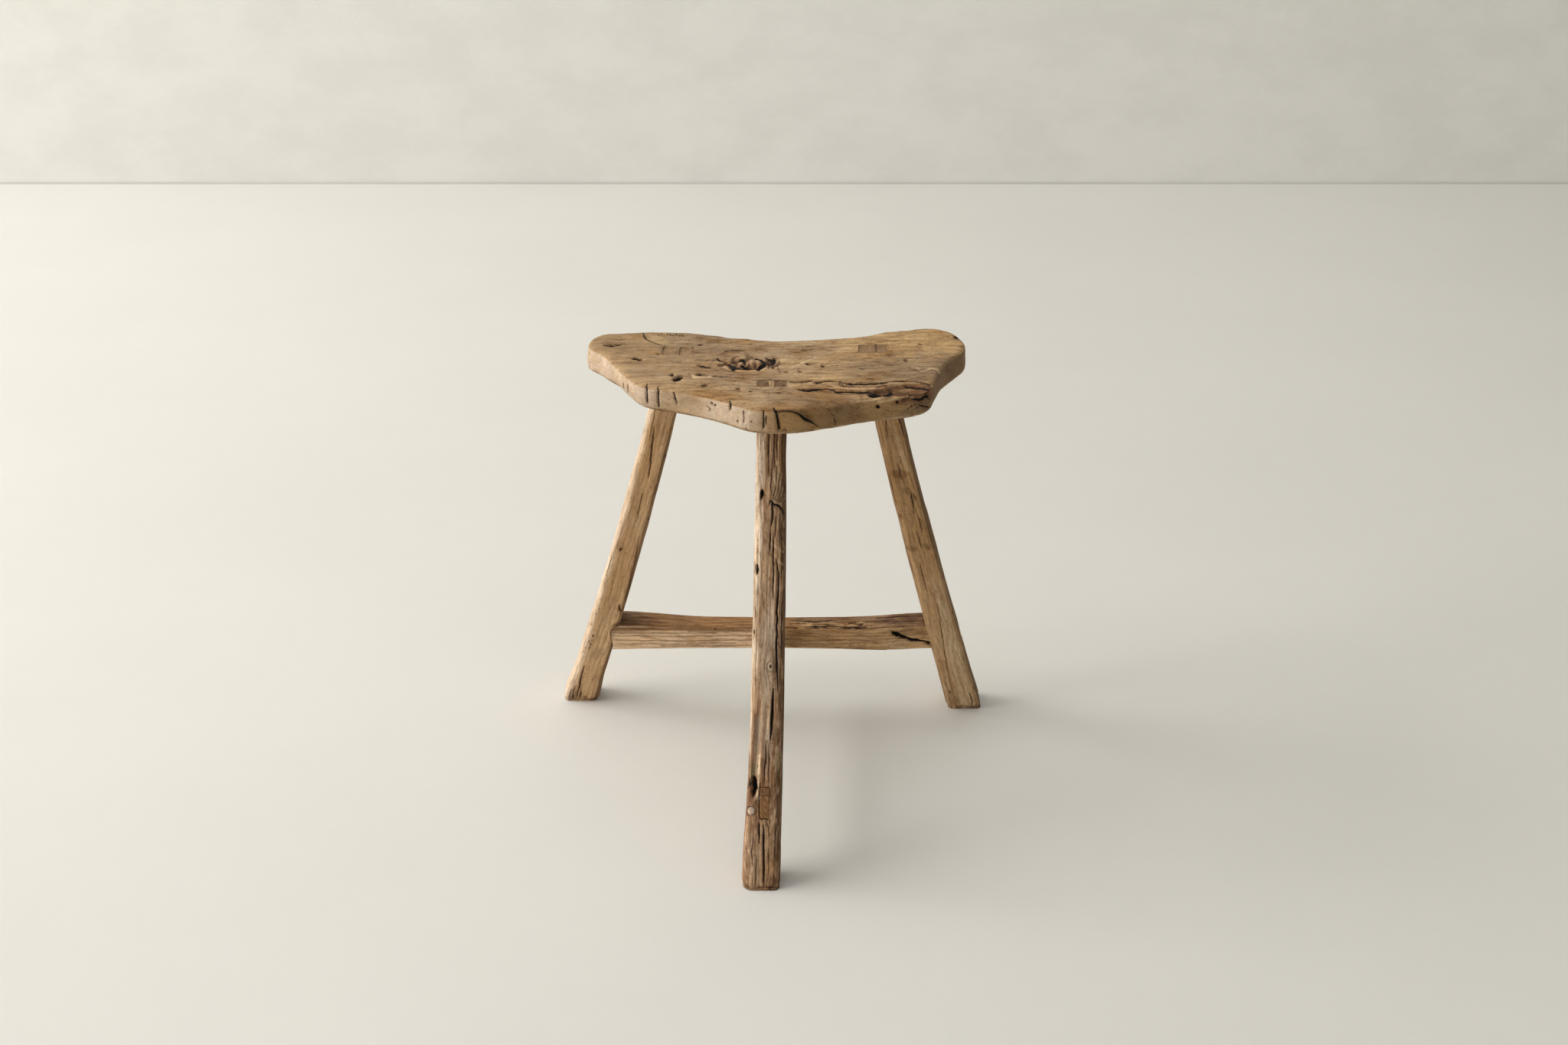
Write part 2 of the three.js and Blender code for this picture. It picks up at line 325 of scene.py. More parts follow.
class Nodes:
    """Short calls that add and link a material's nodes."""

    def __init__(self, name):
        self.material = bpy.data.materials.new(name)
        self.material.use_nodes = True
        self.tree = self.material.node_tree
        self.shader = self.tree.nodes["Principled BSDF"]

    def add(self, kind, values, **settings):
        made = self.tree.nodes.new("ShaderNode" + kind)
        for name, value in settings.items():
            setattr(made, name, value)
        for key, value in values.items():
            self.fill(made.inputs[key], value)
        return made

    def fill(self, socket, value):
        if isinstance(value, bpy.types.NodeSocket):
            self.tree.links.new(value, socket)
        else:
            socket.default_value = value

    def attribute(self, name, output):
        return self.add("Attribute", {}, attribute_name=name).outputs[output]

    def math(self, operation, first, second=0.0):
        return self.add("Math", {0: first, 1: second}, operation=operation).outputs[0]

    def times(self, first, second):
        return self.math("MULTIPLY", first, second)

    def vector(self, operation, first, second):
        return self.add("VectorMath", {0: first, 1: second}, operation=operation).outputs[0]

    def scaled(self, place, size):
        """A place counted in lumps of the given size."""
        return self.vector("MULTIPLY", place, tuple(1 / step for step in size))

    def noise(self, vector, size, detail=3, rough=0.5):
        values = {"Vector": self.scaled(vector, size), "Scale": 1.0, "Detail": detail, "Roughness": rough}
        return self.add("TexNoise", values).outputs["Fac"]

    def step(self, value, low, high, start=0.0, end=1.0):
        """A smooth ramp from start at low to end at high."""
        values = {"Value": value, "From Min": low, "From Max": high, "To Min": start, "To Max": end}
        made = self.add("MapRange", values, interpolation_type="SMOOTHSTEP")
        return made.outputs["Result"]

    def mix(self, share, first, second, blend="MIX"):
        made = self.add("Mix", {}, data_type="RGBA", blend_type=blend)
        self.fill(made.inputs[0], share)
        self.fill(made.inputs[6], first)
        self.fill(made.inputs[7], second)
        return made.outputs[2]


def wood(name, fibre, ring, pith, blotches=1.0, streaks=1.0, checks=1.0, specks=1.0):
    """Old dry wood, coloured by the mesh and marked with rings, fibres, checks, dirt and holes; the dirt
    mark also carries painted shade, and cracks and holes are painted near black as shade.

    fibre is the width of the finest streaks, ring the spacing of the growth rings and pith where
    their centre is, across the grain and through the wood, all in millimetres. blotches, streaks,
    checks and specks say how strongly each kind of mark shows.
    """
    n = Nodes(name)
    grain = n.attribute("grain", "Vector")

    # Growth rings, pulled out of true by a slow drift along the grain.
    drift = n.add("TexNoise", {"Vector": n.scaled(grain, (120, 34, 34)), "Scale": 1.0, "Detail": 2.0})
    drift = n.vector("SUBTRACT", drift.outputs["Color"], (0.5, 0.5, 0.5))
    bent = n.vector("ADD", grain, n.vector("MULTIPLY", drift, (0, 26, 26)))
    centred = n.vector("SUBTRACT", bent, (0, *pith))
    flat = n.vector("MULTIPLY", centred, (0.02, 1, 1))
    radius = n.add("VectorMath", {0: flat}, operation="LENGTH").outputs["Value"]
    band = n.math("FRACT", n.math("DIVIDE", radius, ring))
    late = n.times(n.step(band, 0.3, 0.93), n.step(band, 1.0, 0.95))

    fine = n.noise(grain, (20 * fibre, fibre, fibre), 6, 0.7)
    streak = n.noise(grain, (50 * fibre, 3.6 * fibre, 3.6 * fibre), 5, 0.62)
    cloud = n.noise(grain, (60, 32, 32), 5, 0.62)
    stain = n.noise(grain, (32, 13, 13), 6, 0.68)
    grime = n.noise(grain, (9, 4.5, 4.5), 5, 0.65)
    grit = n.noise(grain, (3.2, 1.7, 1.7), 4, 0.7)

    # Each mark multiplies the wood's own colour: where it starts, where it is full, how strong.
    marks = [
        (cloud, 0.50, 0.66, 0.9 * blotches, (1.16, 1.20, 1.27)),
        (cloud, 0.50, 0.34, 0.9 * blotches, (0.84, 0.72, 0.56)),
        (stain, 0.52, 0.68, 0.9 * blotches, (0.62, 0.52, 0.41)),
        (stain, 0.47, 0.34, 0.7 * blotches, (1.26, 1.22, 1.14)),
        (grime, 0.54, 0.70, 0.9 * blotches, (0.60, 0.51, 0.41)),
        (grime, 0.46, 0.32, 0.5 * blotches, (1.22, 1.20, 1.14)),
        (late, 0.0, 1.0, 0.55 * streaks, (0.54, 0.43, 0.32)),
        (streak, 0.51, 0.66, 0.8 * streaks, (0.56, 0.46, 0.36)),
        (streak, 0.47, 0.34, 0.7 * streaks, (1.26, 1.25, 1.22)),
        (grit, 0.54, 0.70, 0.9 * blotches, (0.55, 0.45, 0.35)),
        (grit, 0.46, 0.32, 0.6 * blotches, (1.24, 1.22, 1.16)),
        (fine, 0.50, 0.66, 0.9 * streaks, (0.50, 0.40, 0.31)),
        (fine, 0.47, 0.34, 0.8 * streaks, (1.34, 1.34, 1.32)),
    ]
    colour = n.attribute("wood", "Color")
    lively = n.math("SUBTRACT", 1.0, n.attribute("calm", "Fac"))
    for value, start, full, strength, factor in marks:
        share = n.times(n.step(value, start, full, 0, strength), lively)
        colour = n.mix(share, colour, (*factor, 1), "MULTIPLY")

    # Fine drying checks along the grain, thickest where the wood is darker.
    check = n.step(n.noise(grain, (26, 0.6 * fibre, 0.6 * fibre), 2, 0.5), 0.64, 0.70)
    check = n.times(check, n.times(n.step(stain, 0.40, 0.58, 0, checks), lively))
    colour = n.mix(check, colour, (0.2, 0.14, 0.1, 1), "MULTIPLY")

    # Specks and small worm holes.
    cells = n.add("TexVoronoi", {"Vector": n.scaled(grain, (8, 5.5, 5.5)), "Scale": 1.0, "Randomness": 1.0})
    speck = n.step(cells.outputs["Distance"], 0.20, 0.12)
    speck = n.times(speck, n.step(n.noise(grain, (40, 26, 26), 2), 0.5, 0.58, 0, specks))
    colour = n.mix(speck, colour, (0.22, 0.15, 0.1, 1), "MULTIPLY")

    # This darkening is real dirt in places and painted shade and shadow in others.
    dirt_and_shade = n.attribute("dirt_and_shade", "Fac")
    dirt_and_shade = n.times(dirt_and_shade, n.step(grime, 0.3, 0.55, 0.6, 1.0))
    colour = n.mix(dirt_and_shade, colour, (0.26, 0.18, 0.12, 1), "MULTIPLY")

    # Cracks and holes are painted near black at any size as the shade inside them, and painted shade darkens
    # their edges.
    ragged = n.math("SUBTRACT", n.noise(grain, (7, 2.2, 2.2), 4, 0.65), 0.5)
    side = n.math("ADD", n.attribute("crack_side", "Fac"), n.times(ragged, 1.6))
    reach = n.math("SUBTRACT", n.attribute("crack_width", "Fac"), n.math("ABSOLUTE", side))
    crack = n.step(reach, -0.15, 0.3)
    fringe = n.step(reach, -1.2, 0.2, 0, 0.5)
    hole = n.math("ADD", n.attribute("hole", "Fac"), n.times(ragged, 2.4))
    rim = n.step(hole, -1.2, 0.2, 0, 0.55)
    hole = n.step(hole, -0.1, 0.4)
    colour = n.mix(n.math("MAXIMUM", fringe, rim), colour, (0.45, 0.32, 0.21, 1), "MULTIPLY")
    colour = n.mix(n.math("MAXIMUM", crack, hole), colour, (0.012, 0.008, 0.005, 1))
    n.fill(n.shader.inputs["Base Color"], colour)

    n.fill(n.shader.inputs["Roughness"], n.step(fine, 0.3, 0.7, 0.72, 0.95))
    n.shader.inputs["IOR"].default_value = 1.4

    height = n.times(fine, 0.5 + 0.4 * streaks)
    reliefs = ((late, 0.15), (check, 0.6), (speck, 0.5), (grime, 0.5), (grit, 0.5), (streak, 0.6 * streaks))
    for value, drop in reliefs:
        height = n.math("SUBTRACT", height, n.times(value, drop))
    bump = n.add("Bump", {"Height": height, "Strength": 0.9, "Distance": 1.1 * MM})
    n.fill(n.shader.inputs["Normal"], bump.outputs["Normal"])
    return n.material


# Colours of the wood where it is clean, as light reflected in red, green and blue. The seat's shade colour
# and the legs' darkest colour also hold painted shade.
SEAT_TAN = (0.468, 0.306, 0.154)
SEAT_GOLD = (0.505, 0.328, 0.152)
SEAT_GREY = (0.441, 0.31, 0.18)
SEAT_CREAM = (0.60, 0.455, 0.325)
SEAT_SHADE = (0.40, 0.24, 0.10)
ROT = (0.26, 0.14, 0.065)
LEG_CREAM = (0.80, 0.64, 0.48)
LEG_GREY = (0.57, 0.38, 0.23)
LEG_RED = (0.40, 0.225, 0.12)
LEG_DARK_SHADED = (0.20, 0.115, 0.055)
LEG_TAN = (0.70, 0.46, 0.25)
LEG_GOLD = (0.50, 0.305, 0.14)
STRETCHER_PINK = (0.78, 0.56, 0.36)
STRETCHER_BROWN = (0.40, 0.215, 0.09)
PALE_PEG = (0.62, 0.47, 0.36)
END_GRAIN = (0.24, 0.145, 0.075)
LEG_OAK = (0.40, 0.265, 0.14)
LEG_UMBER = (0.33, 0.205, 0.105)


# ---------------------------------------------------------------- seat

seat_low, seat_high = (np.array(corner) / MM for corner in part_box("seat"))
SEAT_TOP = seat_high[Z]
SEAT_UNDERSIDE = seat_low[Z]
SEAT_EDGE_ROUND = 4.5

# No mortise is nearer to the slab's edge than this.
MORTISE_INSET = 14


def seat_outline():
    """The slab's outline, anticlockwise, from the ring of points where its edge rounding starts."""
    points = cad_points("seat")
    ring = points[np.abs(points[:, Z] - (SEAT_TOP - SEAT_EDGE_ROUND)) < 0.2][:, :2]
    ring = np.unique(np.round(ring, 2), axis=0)
    middle = (ring.min(axis=0) + ring.max(axis=0)) / 2
    angle = np.arctan2(ring[:, 1] - middle[1], ring[:, 0] - middle[0])
    ring = ring[np.argsort(angle)]
    return np.vstack([ring, ring[:1]])


def seat_wear(x, y):
    """How far the top has been worn down at a place: most where people sat."""
    sat = np.exp(-((x - 8) / 120) ** 2 - ((y - 30) / 75) ** 2)
    return 1.6 * sat


def wear_top(block):
    """Lower whatever reaches the seat's top by the seat's wear, less the deeper it is."""
    share = smooth(SEAT_UNDERSIDE, SEAT_TOP, block.points[:, Z])
    block.points[:, Z] -= share * seat_wear(block.points[:, X], block.points[:, Y])


def make_seat():
    block = Block("seat", X, Y, voxel=1.15, stretch=1.3, colour=SEAT_TAN, seed=3)
    edge, _ = line_distance(block.points[:, :2], seat_outline())
    inset = np.abs(edge)
    top = block.facing("top")
    under = block.facing("under")
    outer = smooth(MORTISE_INSET, 8, inset)
    wall = (1 - top) * (1 - under) * outer

    # The mortises open in the top with sharp rims.
    rims = (inset > MORTISE_INSET) & (block.points[:, Z] > SEAT_TOP - 1.4)
    block.points[rims, Z] = SEAT_TOP

    colour_seat(block, wall)
    shape_seat(block, inset, wall)
    rot_middle_knot(block)
    crack_seat_top(block)
    tear_right_edge(block)
    chop_front_edge(block)
    # The mortises grip their tenons.
    open_air = np.maximum(np.maximum(top, under), outer)
    block.depth = block.depth * open_air - 0.3 * (1 - open_air)
    wear_top(block)
    return block


def colour_seat(block, wall):
    x, y, z = block.points.T
    top, front = block.facing("top"), block.facing("front")
    block.tint(top * smooth(-0.2, 0.5, block.noise((90, 40, 40), 1, 2)), SEAT_GREY)
    block.tint(top * smooth(30, 110, x) * smooth(30, 70, y), SEAT_GOLD)
    patches = [
        ((-112, 108), (52, 30), 1.0, (0.54, 0.387, 0.211)),
        ((-150, 88), (80, 50), 0.6, (0.333, 0.216, 0.108)),
        ((-75, 108), (80, 30), 0.8, (0.32, 0.22, 0.12)), ((-75, 62), (90, 44), 0.6, (0.279, 0.18, 0.099)),
        ((-50, 5), (70, 30), 0.5, (0.306, 0.198, 0.108)), ((-120, 20), (60, 40), 0.5, (0.396, 0.279, 0.167)),
        ((28, 65), (26, 60), 0.6, (0.306, 0.198, 0.099)), ((25, 30), (70, 60), 0.5, (0.54, 0.356, 0.176)),
        ((10, 95), (90, 30), 0.6, (0.54, 0.378, 0.207)), ((130, 22), (100, 70), 0.8, (0.31, 0.215, 0.125)),
        ((10, -60), (90, 30), 0.5, (0.405, 0.279, 0.158)), ((62, -58), (90, 26), 0.7, (0.297, 0.194, 0.104)),
    ]
    for centre, size, strength, colour in patches:
        block.tint(block.patch("top", centre, size, 0.7, 0.5) * strength, colour)
    block.tint(wall * smooth(0.1, -0.5, block.normals[:, X]), SEAT_CREAM)
    block.tint(front * wall * smooth(-115, -95, x) * smooth(-55, -75, x) * 0.7, (0.54, 0.37, 0.21))
    # Darker towards the right along the front wall, darkest on the right-facing walls: darker wood and
    # painted shade.
    block.tint(front * wall * smooth(-5, 20, x), SEAT_SHADE)
    block.tint(front * wall * smooth(50, 70, x), (0.40, 0.245, 0.105))
    block.tint(block.facing("right") * wall, (0.25, 0.15, 0.07))
    block.tint(block.facing("under"), (0.44, 0.30, 0.17))
    block.tint(block.facing("back") * wall, (0.50, 0.335, 0.185))
    block.smoothen(0.55 * wall)
    block.smoothen(0.35 * top * smooth(-60, -110, x))
    block.soil_and_shade(0.3 * wall * smooth(SEAT_UNDERSIDE + 5, SEAT_UNDERSIDE, z))
    ridge = front * smooth(SEAT_TOP - 8, SEAT_TOP - 4, z) * smooth(0.15, 0.45, block.normals[:, Z])
    block.tint(0.45 * ridge * smooth(-100, -60, x) * smooth(10, -10, x), (0.42, 0.25, 0.11))


def shape_seat(block, inset, wall):
    """Worn edges, ridged grain and hollows."""
    x, y, z = block.points.T
    top = block.facing("top")
    above = SEAT_TOP - z
    corner = np.exp(-(inset + above) / 5.0)
    block.depth += corner * (1.2 + 1.8 * smooth(-0.6, 0.8, block.noise((30, 30, 30), 2, 3)))
    block.depth += top * 0.35 * smooth(-0.3, 0.7, block.noise((40, 3.6, 9), 3, 2))
    block.depth += top * 0.9 * smooth(0.0, 0.9, block.noise((26, 14, 14), 4, 3))
    block.depth += wall * 0.7 * smooth(-0.5, 0.8, block.noise((26, 26, 12), 5, 3))
    block.depth += block.facing("under") * 0.5 * smooth(-0.2, 0.8, block.noise((40, 6, 6), 6, 3))

    # Right of the middle, the front edge is worn to a broad shoulder.
    shoulder = np.exp(-(inset + 1.6 * above) / 16.0) * smooth(26, 50, x) * smooth(112, 92, x)
    near_front = smooth(0, -25, y)
    block.depth += 6.0 * shoulder * near_front

    # The lower edge is axed back at both front flanks.
    low = smooth(SEAT_UNDERSIDE + 15, SEAT_UNDERSIDE, z)
    flank = smooth(-60, -100, x) * smooth(60, 30, y) + 0.35 * smooth(75, 110, x) * smooth(45, 15, y)
    push = 5.5 * low * flank * smooth(18, 0, inset)
    block.points[:, :2] -= outward(block) * push[:, None]


def outward(block):
    """The level direction away from the slab's middle, or the wall's own where there is one."""
    level = block.normals[:, :2]
    length = np.linalg.norm(level, axis=1)[:, None]
    spread = block.points[:, :2] - np.array([0.0, 30.0])
    spread /= np.linalg.norm(spread, axis=1)[:, None]
    return np.where(length > 0.5, level / np.maximum(length, 1e-6), spread)


def rot_middle_knot(block):
    """The big knot in the middle, rotted to a crumbly pit with a deep gap along its near side."""
    block.swirl("top", (-24, 40), (95, 56), 0.75)
    bowl = block.patch("top", (-23, 39), (58, 33), 0.3, 0.35)
    crumbs = smooth(-0.5, 0.7, block.noise((6, 6, 6), 8, 3))
    block.depth = np.maximum(block.depth, bowl * (0.5 + 4.0 * crumbs))
    block.tint(bowl * 0.85, (0.30, 0.175, 0.085))
    block.tint(bowl * 0.6 * smooth(0.3, 0.1, crumbs), (0.52, 0.34, 0.18))
    # The pit darkens where its crumbs lie deepest: dark rot and painted shade.
    block.soil_and_shade(bowl * 0.9 * smooth(0.3, 0.7, crumbs))
    block.cracks("top", [
        ([(-43, 37), (-38, 33), (-30, 25), (-21, 23), (-13, 27), (-7, 36)], 7.0, 8, 0.7, True),
        ([(-7, 36), (-5, 43), (-10, 50), (-17, 54)], 5.2, 7, 0.6),
        ([(-5, 38), (0, 35), (2, 29), (2.5, 22)], 1.6, 1.2, 0.6),
        ([(-6, 42), (0, 44), (5, 46)], 2.4, 2, 0.6),
        ([(-53, 54), (-48, 46), (-41, 41)], 3.2, 5, 0.8), ([(-28, 52), (-26, 44), (-25, 36)], 3.2, 5, 0.8),
        ([(-47, 72), (-41, 71)], 2.4, 1.5, 0.8), ([(-40, 75), (-33, 74), (-26, 72)], 2.4, 1.5, 0.8),
        ([(-6, 52), (-1, 50), (4, 47)], 2.4, 1.5, 0.8),
    ])
    block.pits("top", [((-24, 32), (12, 8), 7, -10, 1.4), ((-27, 47), (7, 9), 4, 0, 1.2)])
    brown = (0.24, 0.14, 0.07)
    block.streaks("top", [
        ([(-50, 60), (-46, 68), (-43, 73), (-38, 73)], 3.2, brown, 0.8, 0.8),
        ([(-34, 76), (-26, 74), (-25, 67)], 2.2, brown, 0.7, 0.8),
        ([(6, 36), (7, 24), (9, 13)], 1.8, brown, 0.8),
        ([(-72, 17), (-58, 16), (-44, 24)], 2.2, brown, 0.6, 0.8),
        # Painted highlight: a pale line along the pit's near rim, below the deep gap.
        ([(-44, 25), (-33, 18), (-22, 16), (-10, 22), (-4, 32)], 2.8, (0.80, 0.56, 0.33), 0.7),
    ])


def crack_seat_top(block):
    """Checks, torn grain, worm holes and small pits in the top."""
    block.swirl("top", (-110, 108), (60, 44), 0.7)
    block.crack("top", [(-129, 125), (-126, 108), (-121, 99), (-110, 87), (-100, 81)], 1.8, 2)
    for step in range(9):
        block.pit("top", (-113 + 3 * step, 116 + 2.5 * math.sin(2.3 * step)), (1.7, 4), 1)

    pits = [
        ((-158, 84), (13, 7), 0), ((-151, 86), (6, 4), 0), ((-131, 49), (7, 9), -40),
        ((-127, 45), (5, 5), 0), ((-91, 72), (7, 8), 0), ((-78, 76), (3, 11), 0), ((-85, 78), (6, 3), 0),
        ((-88, -4), (7, 16), -20), ((-94, 5), (3.5, 8), 0), ((-62, -23), (5, 8), -20),
        ((-66, 30), (9, 6), -25), ((-60, 26), (8, 5), -15), ((-66, 7), (9, 5), 0),
        ((113.5, 78), (3.6, 14), 0), ((99, 68), (8, 4), 0), ((36, 37), (4, 5), 0), ((15, 14), (4, 4), 0),
        ((28, 16), (4, 4), 0), ((3, 48), (4, 7), 0), ((50, 32), (3, 4), 0), ((131, 45), (4, 5), 0),
        ((-110, 60), (4, 3), 0), ((-70, 88), (5, 3), 0), ((-30, -32), (4, 4), 0),
        ((8, -40), (5, 3), 0), ((-18, -38), (4, 3), 0), ((88, 20), (4, 3), 0), ((148, 88), (5, 3), 0),
    ]
    for centre, size, turn in pits:
        block.pit("top", centre, size, 0.8 * min(size), turn, 0.9)

    # Long checks: through the front tenon's mortise, then along the right-hand half.
    block.cracks("top", [
        ([(-58, 5), (-48, 3), (-41, 2), (-29, -2), (-19, -5), (-12, -9)], 3.0, 3.5, 0.4),
        ([(-12, -8.5), (-5, -8), (0, -5.5), (6, -7.5), (16, -9.5)], 2.4, 2, 0.3, True),
        ([(15, -11.5), (28, -11), (38, -9), (42, -6)], 3.0, 3.5, 0.4),
        ([(43, -13), (57, -10), (66, -12), (77, -17), (97, -15), (109, -14), (119, -12), (140, -13),
          (152, -20)], 4.0, 4, 0.6, True),
        ([(63, -16), (70, -22), (80, -24), (99, -26), (108, -19)], 2.4, 2.4, 0.8),
        ([(26, -32), (34, -35), (44, -32), (54, -29), (62, -36)], 6.0, 4.0, 1.2),
        ([(60, -37), (77, -36), (91, -36), (104, -39)], 5.0, 5.0, 1.0),
        ([(114, 72), (113.6, 79), (114, 86)], 2.2, 2.5, 0.3),
    ])
    torn_band = block.patch("top", (70, -27), (92, 26), 0.5, 0.5)
    block.depth += torn_band * smooth(-0.3, 0.4, block.noise((45, 3.4, 4), 23, 2))
    block.tint(torn_band * 0.7, (0.45, 0.27, 0.125))

    # Torn fibres, then scuffs: an oval round a small knot, a squiggle at the right and fine scratches.
    pale, dark = (0.80, 0.60, 0.38), (0.25, 0.15, 0.08)
    squiggle = [(141, 18), (144, 11), (149, 13), (154, 18), (160, 16), (164, 10)]
    block.streaks("top", [
        ([(56, -20), (76, -29), (92, -31), (106, -26), (115, -16)], 3.4, (0.74, 0.53, 0.32), 0.7, 1.2),
        ([(36, -14), (56, -15), (78, -18)], 2.6, (0.72, 0.50, 0.28), 0.6, 1.2),
        ([(-75, 6), (-73, 1), (-66, -2), (-60, -1), (-57, 5)], 2.4, pale, 0.7),
        ([(-78, 9), (-76, 2)], 1.8, dark, 0.7),
        (squiggle, 2.4, dark, 0.7), ([(x, y + 4) for x, y in squiggle], 2.2, pale, 0.5),
        ([(18, 24), (30, 40), (44, 53)], 2.0, pale, 0.5), ([(6, 36), (9, 10)], 1.6, dark, 0.7),
        ([(3, -29), (5, -26), (11, -26)], 1.8, dark, 0.7),
        ([(86, 68), (99, 67), (112, 68)], 2.6, dark, 0.9),
        ([(-86, 79), (-78, 79), (-78, 72)], 1.8, dark, 0.7),
    ])

    # Short open checks scattered along the grain.
    for step in range(60):
        start = -172 + 5.8 * step
        across = 22 + 66 * math.sin(2.4 * step) + 0.16 * abs(start)
        length = 14 + 11 * math.sin(5.1 * step + 1)
        line = [(start, across), (start + length / 2, across + 1.2), (start + length, across + 0.4)]
        block.streak("top", line, 1.5 + 0.6 * math.sin(3.3 * step), (0.27, 0.165, 0.085), 0.75, 1.2)


def tear_right_edge(block):
    """The rotted cavity that opens the slab's front right edge."""
    x, y, z = block.points.T
    either = np.maximum(block.facing("top"), block.facing("front"))
    reach = ((x - 126) / 29) ** 2 + ((y + 36) / 15) ** 2 + 0.45 * block.noise((12, 7, 7), 21, 2)
    near_top = smooth(SEAT_TOP - 13, SEAT_TOP - 6, z)
    torn = smooth(1.15, 0.75, reach) * near_top * either
    grooves = 0.45 + 0.55 * smooth(-0.5, 0.5, block.noise((34, 4.0, 4.0), 22, 2))
    block.depth = np.maximum(block.depth, torn * 7.5 * grooves)
    block.tint(smooth(1.7, 1.2, reach) * near_top * either, ROT)
    # The deepest grooves darken: rot and painted shade.
    block.soil_and_shade(torn * 0.5 * grooves)
    pale_fibres = smooth(0.1, 0.5, block.noise((16, 3, 3), 24, 2)) * torn
    block.tint(0.8 * pale_fibres, (0.46, 0.28, 0.14))
    block.cracks("top", [
        ([(91, -42), (98, -44), (105, -43), (110, -38), (114, -31)], 9, 10, 0.7),
        ([(126, -22), (140, -24), (150, -30), (156, -38)], 3.0, 4, 0.8),
        ([(128, -42), (134, -41), (141, -43)], 4, 6), ([(140, -50), (150, -42), (160, -36)], 3.0, 5, 0.6),
    ])
    block.streak("top", [(106, -38), (112, -30), (115, -20)], 2.4, (0.16, 0.09, 0.045), 0.8, 0.6)
    block.cracks("front", [
        ([(133, 443), (140, 440.5), (148, 441.5), (158, 436)], 2.6, 5, 0.8),
        ([(138, 437), (146, 433), (151, 429)], 1.2, 2),
    ])
    lip = [(102, -58), (108, -57), (114, -52), (120, -48), (129, -43), (137, -44)]
    for face in ("top", "front"):
        line = [(x, y) if face == "top" else (x, 447 + 0.2 * (y + 50)) for x, y in lip]
        block.streak(face, line, 2.6, (0.74, 0.50, 0.27), 0.9, 0.5)
    for centre, size in (((101, 440), 3.6), ((119, 442.5), 3.2), ((143, 435), 2.2), ((136, 438), 1.7),
                         ((132, 437), 1.6), ((138, 434), 1.6), ((129, 435), 1.4), ((110, 436), 1.4)):
        block.pit("front", centre, (size, size), 1.2 * size, 0, 0.2)


def chop_front_edge(block):
    """Blade marks across the front edge, and the axed notch to the right of the middle."""
    x = block.points[:, X]
    front = block.facing("front")
    chops = [
        (-117, -117, 450, 431, 1.5), (-106, -106, 450, 428, 1.5), (-91, -88, 449, 436, 1.1),
        (-37.5, -37.5, 451, 441, 1.6), (-25, -25, 446, 432, 0.9), (-6.5, -6, 450, 430, 1.4),
        (-3.5, -4, 444, 434, 0.7), (4.5, 9, 452, 425.5, 2.2), (-142, -142, 441, 431, 0.8),
        (-137, -137, 443, 430, 0.8), (14, 15, 430, 425, 0.8), (60, 61, 436, 428, 0.7),
    ]
    for start, end, high, low, width in chops:
        block.crack("front", [(start, high), (end, low)], width, 1.6 * width, 0.25, True)
    for across, near, far, width in ((-117, -24, -17, 1.3), (-106, -31, -23, 1.3), (-37.5, -67, -60, 1.4)):
        block.crack("top", [(across, near), (across + 0.5, far)], width, 1.5)
    block.crack("top", [(4.5, -85), (3.5, -76)], 1.9, 2.2)
    block.pit("top", (189, 108), (16, 8), 5, -35, 0.7)

    notch = [(6, 451), (16, 448.5), (25, 444.5), (33, 438.5), (41, 432.5), (49, 426)]
    side, _ = line_distance(block.on("front"), notch)
    below = smooth(0.3, -1.5, side) * smooth(4, 9, x) * smooth(52, 44, x) * front
    block.depth += 2.0 * below
    block.tint(below, (0.43, 0.265, 0.115))
    block.cracks("front", [
        (notch, 1.5, 3, 0.5), (notch[2:5], 3.2, 4, 0.9), ([(-60, 440), (-56, 437), (-58, 434)], 0.8, 0.6),
    ])
    # A painted shadow band runs just above the notch line.
    block.soil_and_shade(0.7 * smooth(5, 0, np.abs(side - 2.5)) * front * smooth(10, 18, x) * smooth(44, 34, x))
    for centre, size in (((-55, 443), 2.2), ((-52, 442.4), 2.0), ((-30.5, 433), 1.8), ((-17.5, 436), 1.8)):
        block.pit("front", centre, (size, size), size, 0, 0.2)
    block.soil_and_shade(0.5 * block.patch("front", (70, 447), (34, 7), 0.6, 0.6))
    block.soil_and_shade(0.3 * block.patch("front", (80, 437), (16, 12), 0.6, 0.6))
    for bow in range(4):
        low = 429 + 2.2 * bow
        curl = [(118 + 4 * bow, low), (134 + 3 * bow, low + 1.5), (146 + 2 * bow, low + 4.5)]
        block.streak("front", curl, 1.4, (0.26, 0.16, 0.085), 0.7, 0.5)


# ---------------------------------------------------------------- legs

LEG_LEVELS = (0.0, 230.0, 450.0)

# The rear stretcher's left end laps over the corner of its leg, this far in from the leg's side.
LAP = 9.5
LAP_SIDE = 17.2

# The soles stay this far above the floor.
SOLE_CLEARANCE = 0.1

# The front tenon's end shows the lines of the saw that cut it, this far apart.
SAW_LINE_SPACING = 1.9


def lap(height):
    """How far the stretcher laps over the leg, by the height above the stretcher's middle."""
    return LAP * smooth(-15, 12, height)


def leg_line(node):
    """A leg's middle line, as an offset for each height: a curve through three measured levels."""
    points = cad_points(node)
    centres = []
    for level in LEG_LEVELS:
        ring = points[np.abs(points[:, Z] - level) < 0.6]
        centres.append((ring.min(axis=0) + ring.max(axis=0))[:2] / 2)
    curve = np.polyfit(LEG_LEVELS, np.array(centres), 2)
    return lambda height: np.stack([
        np.polyval(curve[:, 0], height), np.polyval(curve[:, 1], height), np.zeros(len(height))
    ], axis=1)


def leg_block(node, colour, seed, voxel=0.8):
    return Block(node, Z, X, voxel, stretch=2.2, colour=colour, seed=seed, bend=leg_line(node))


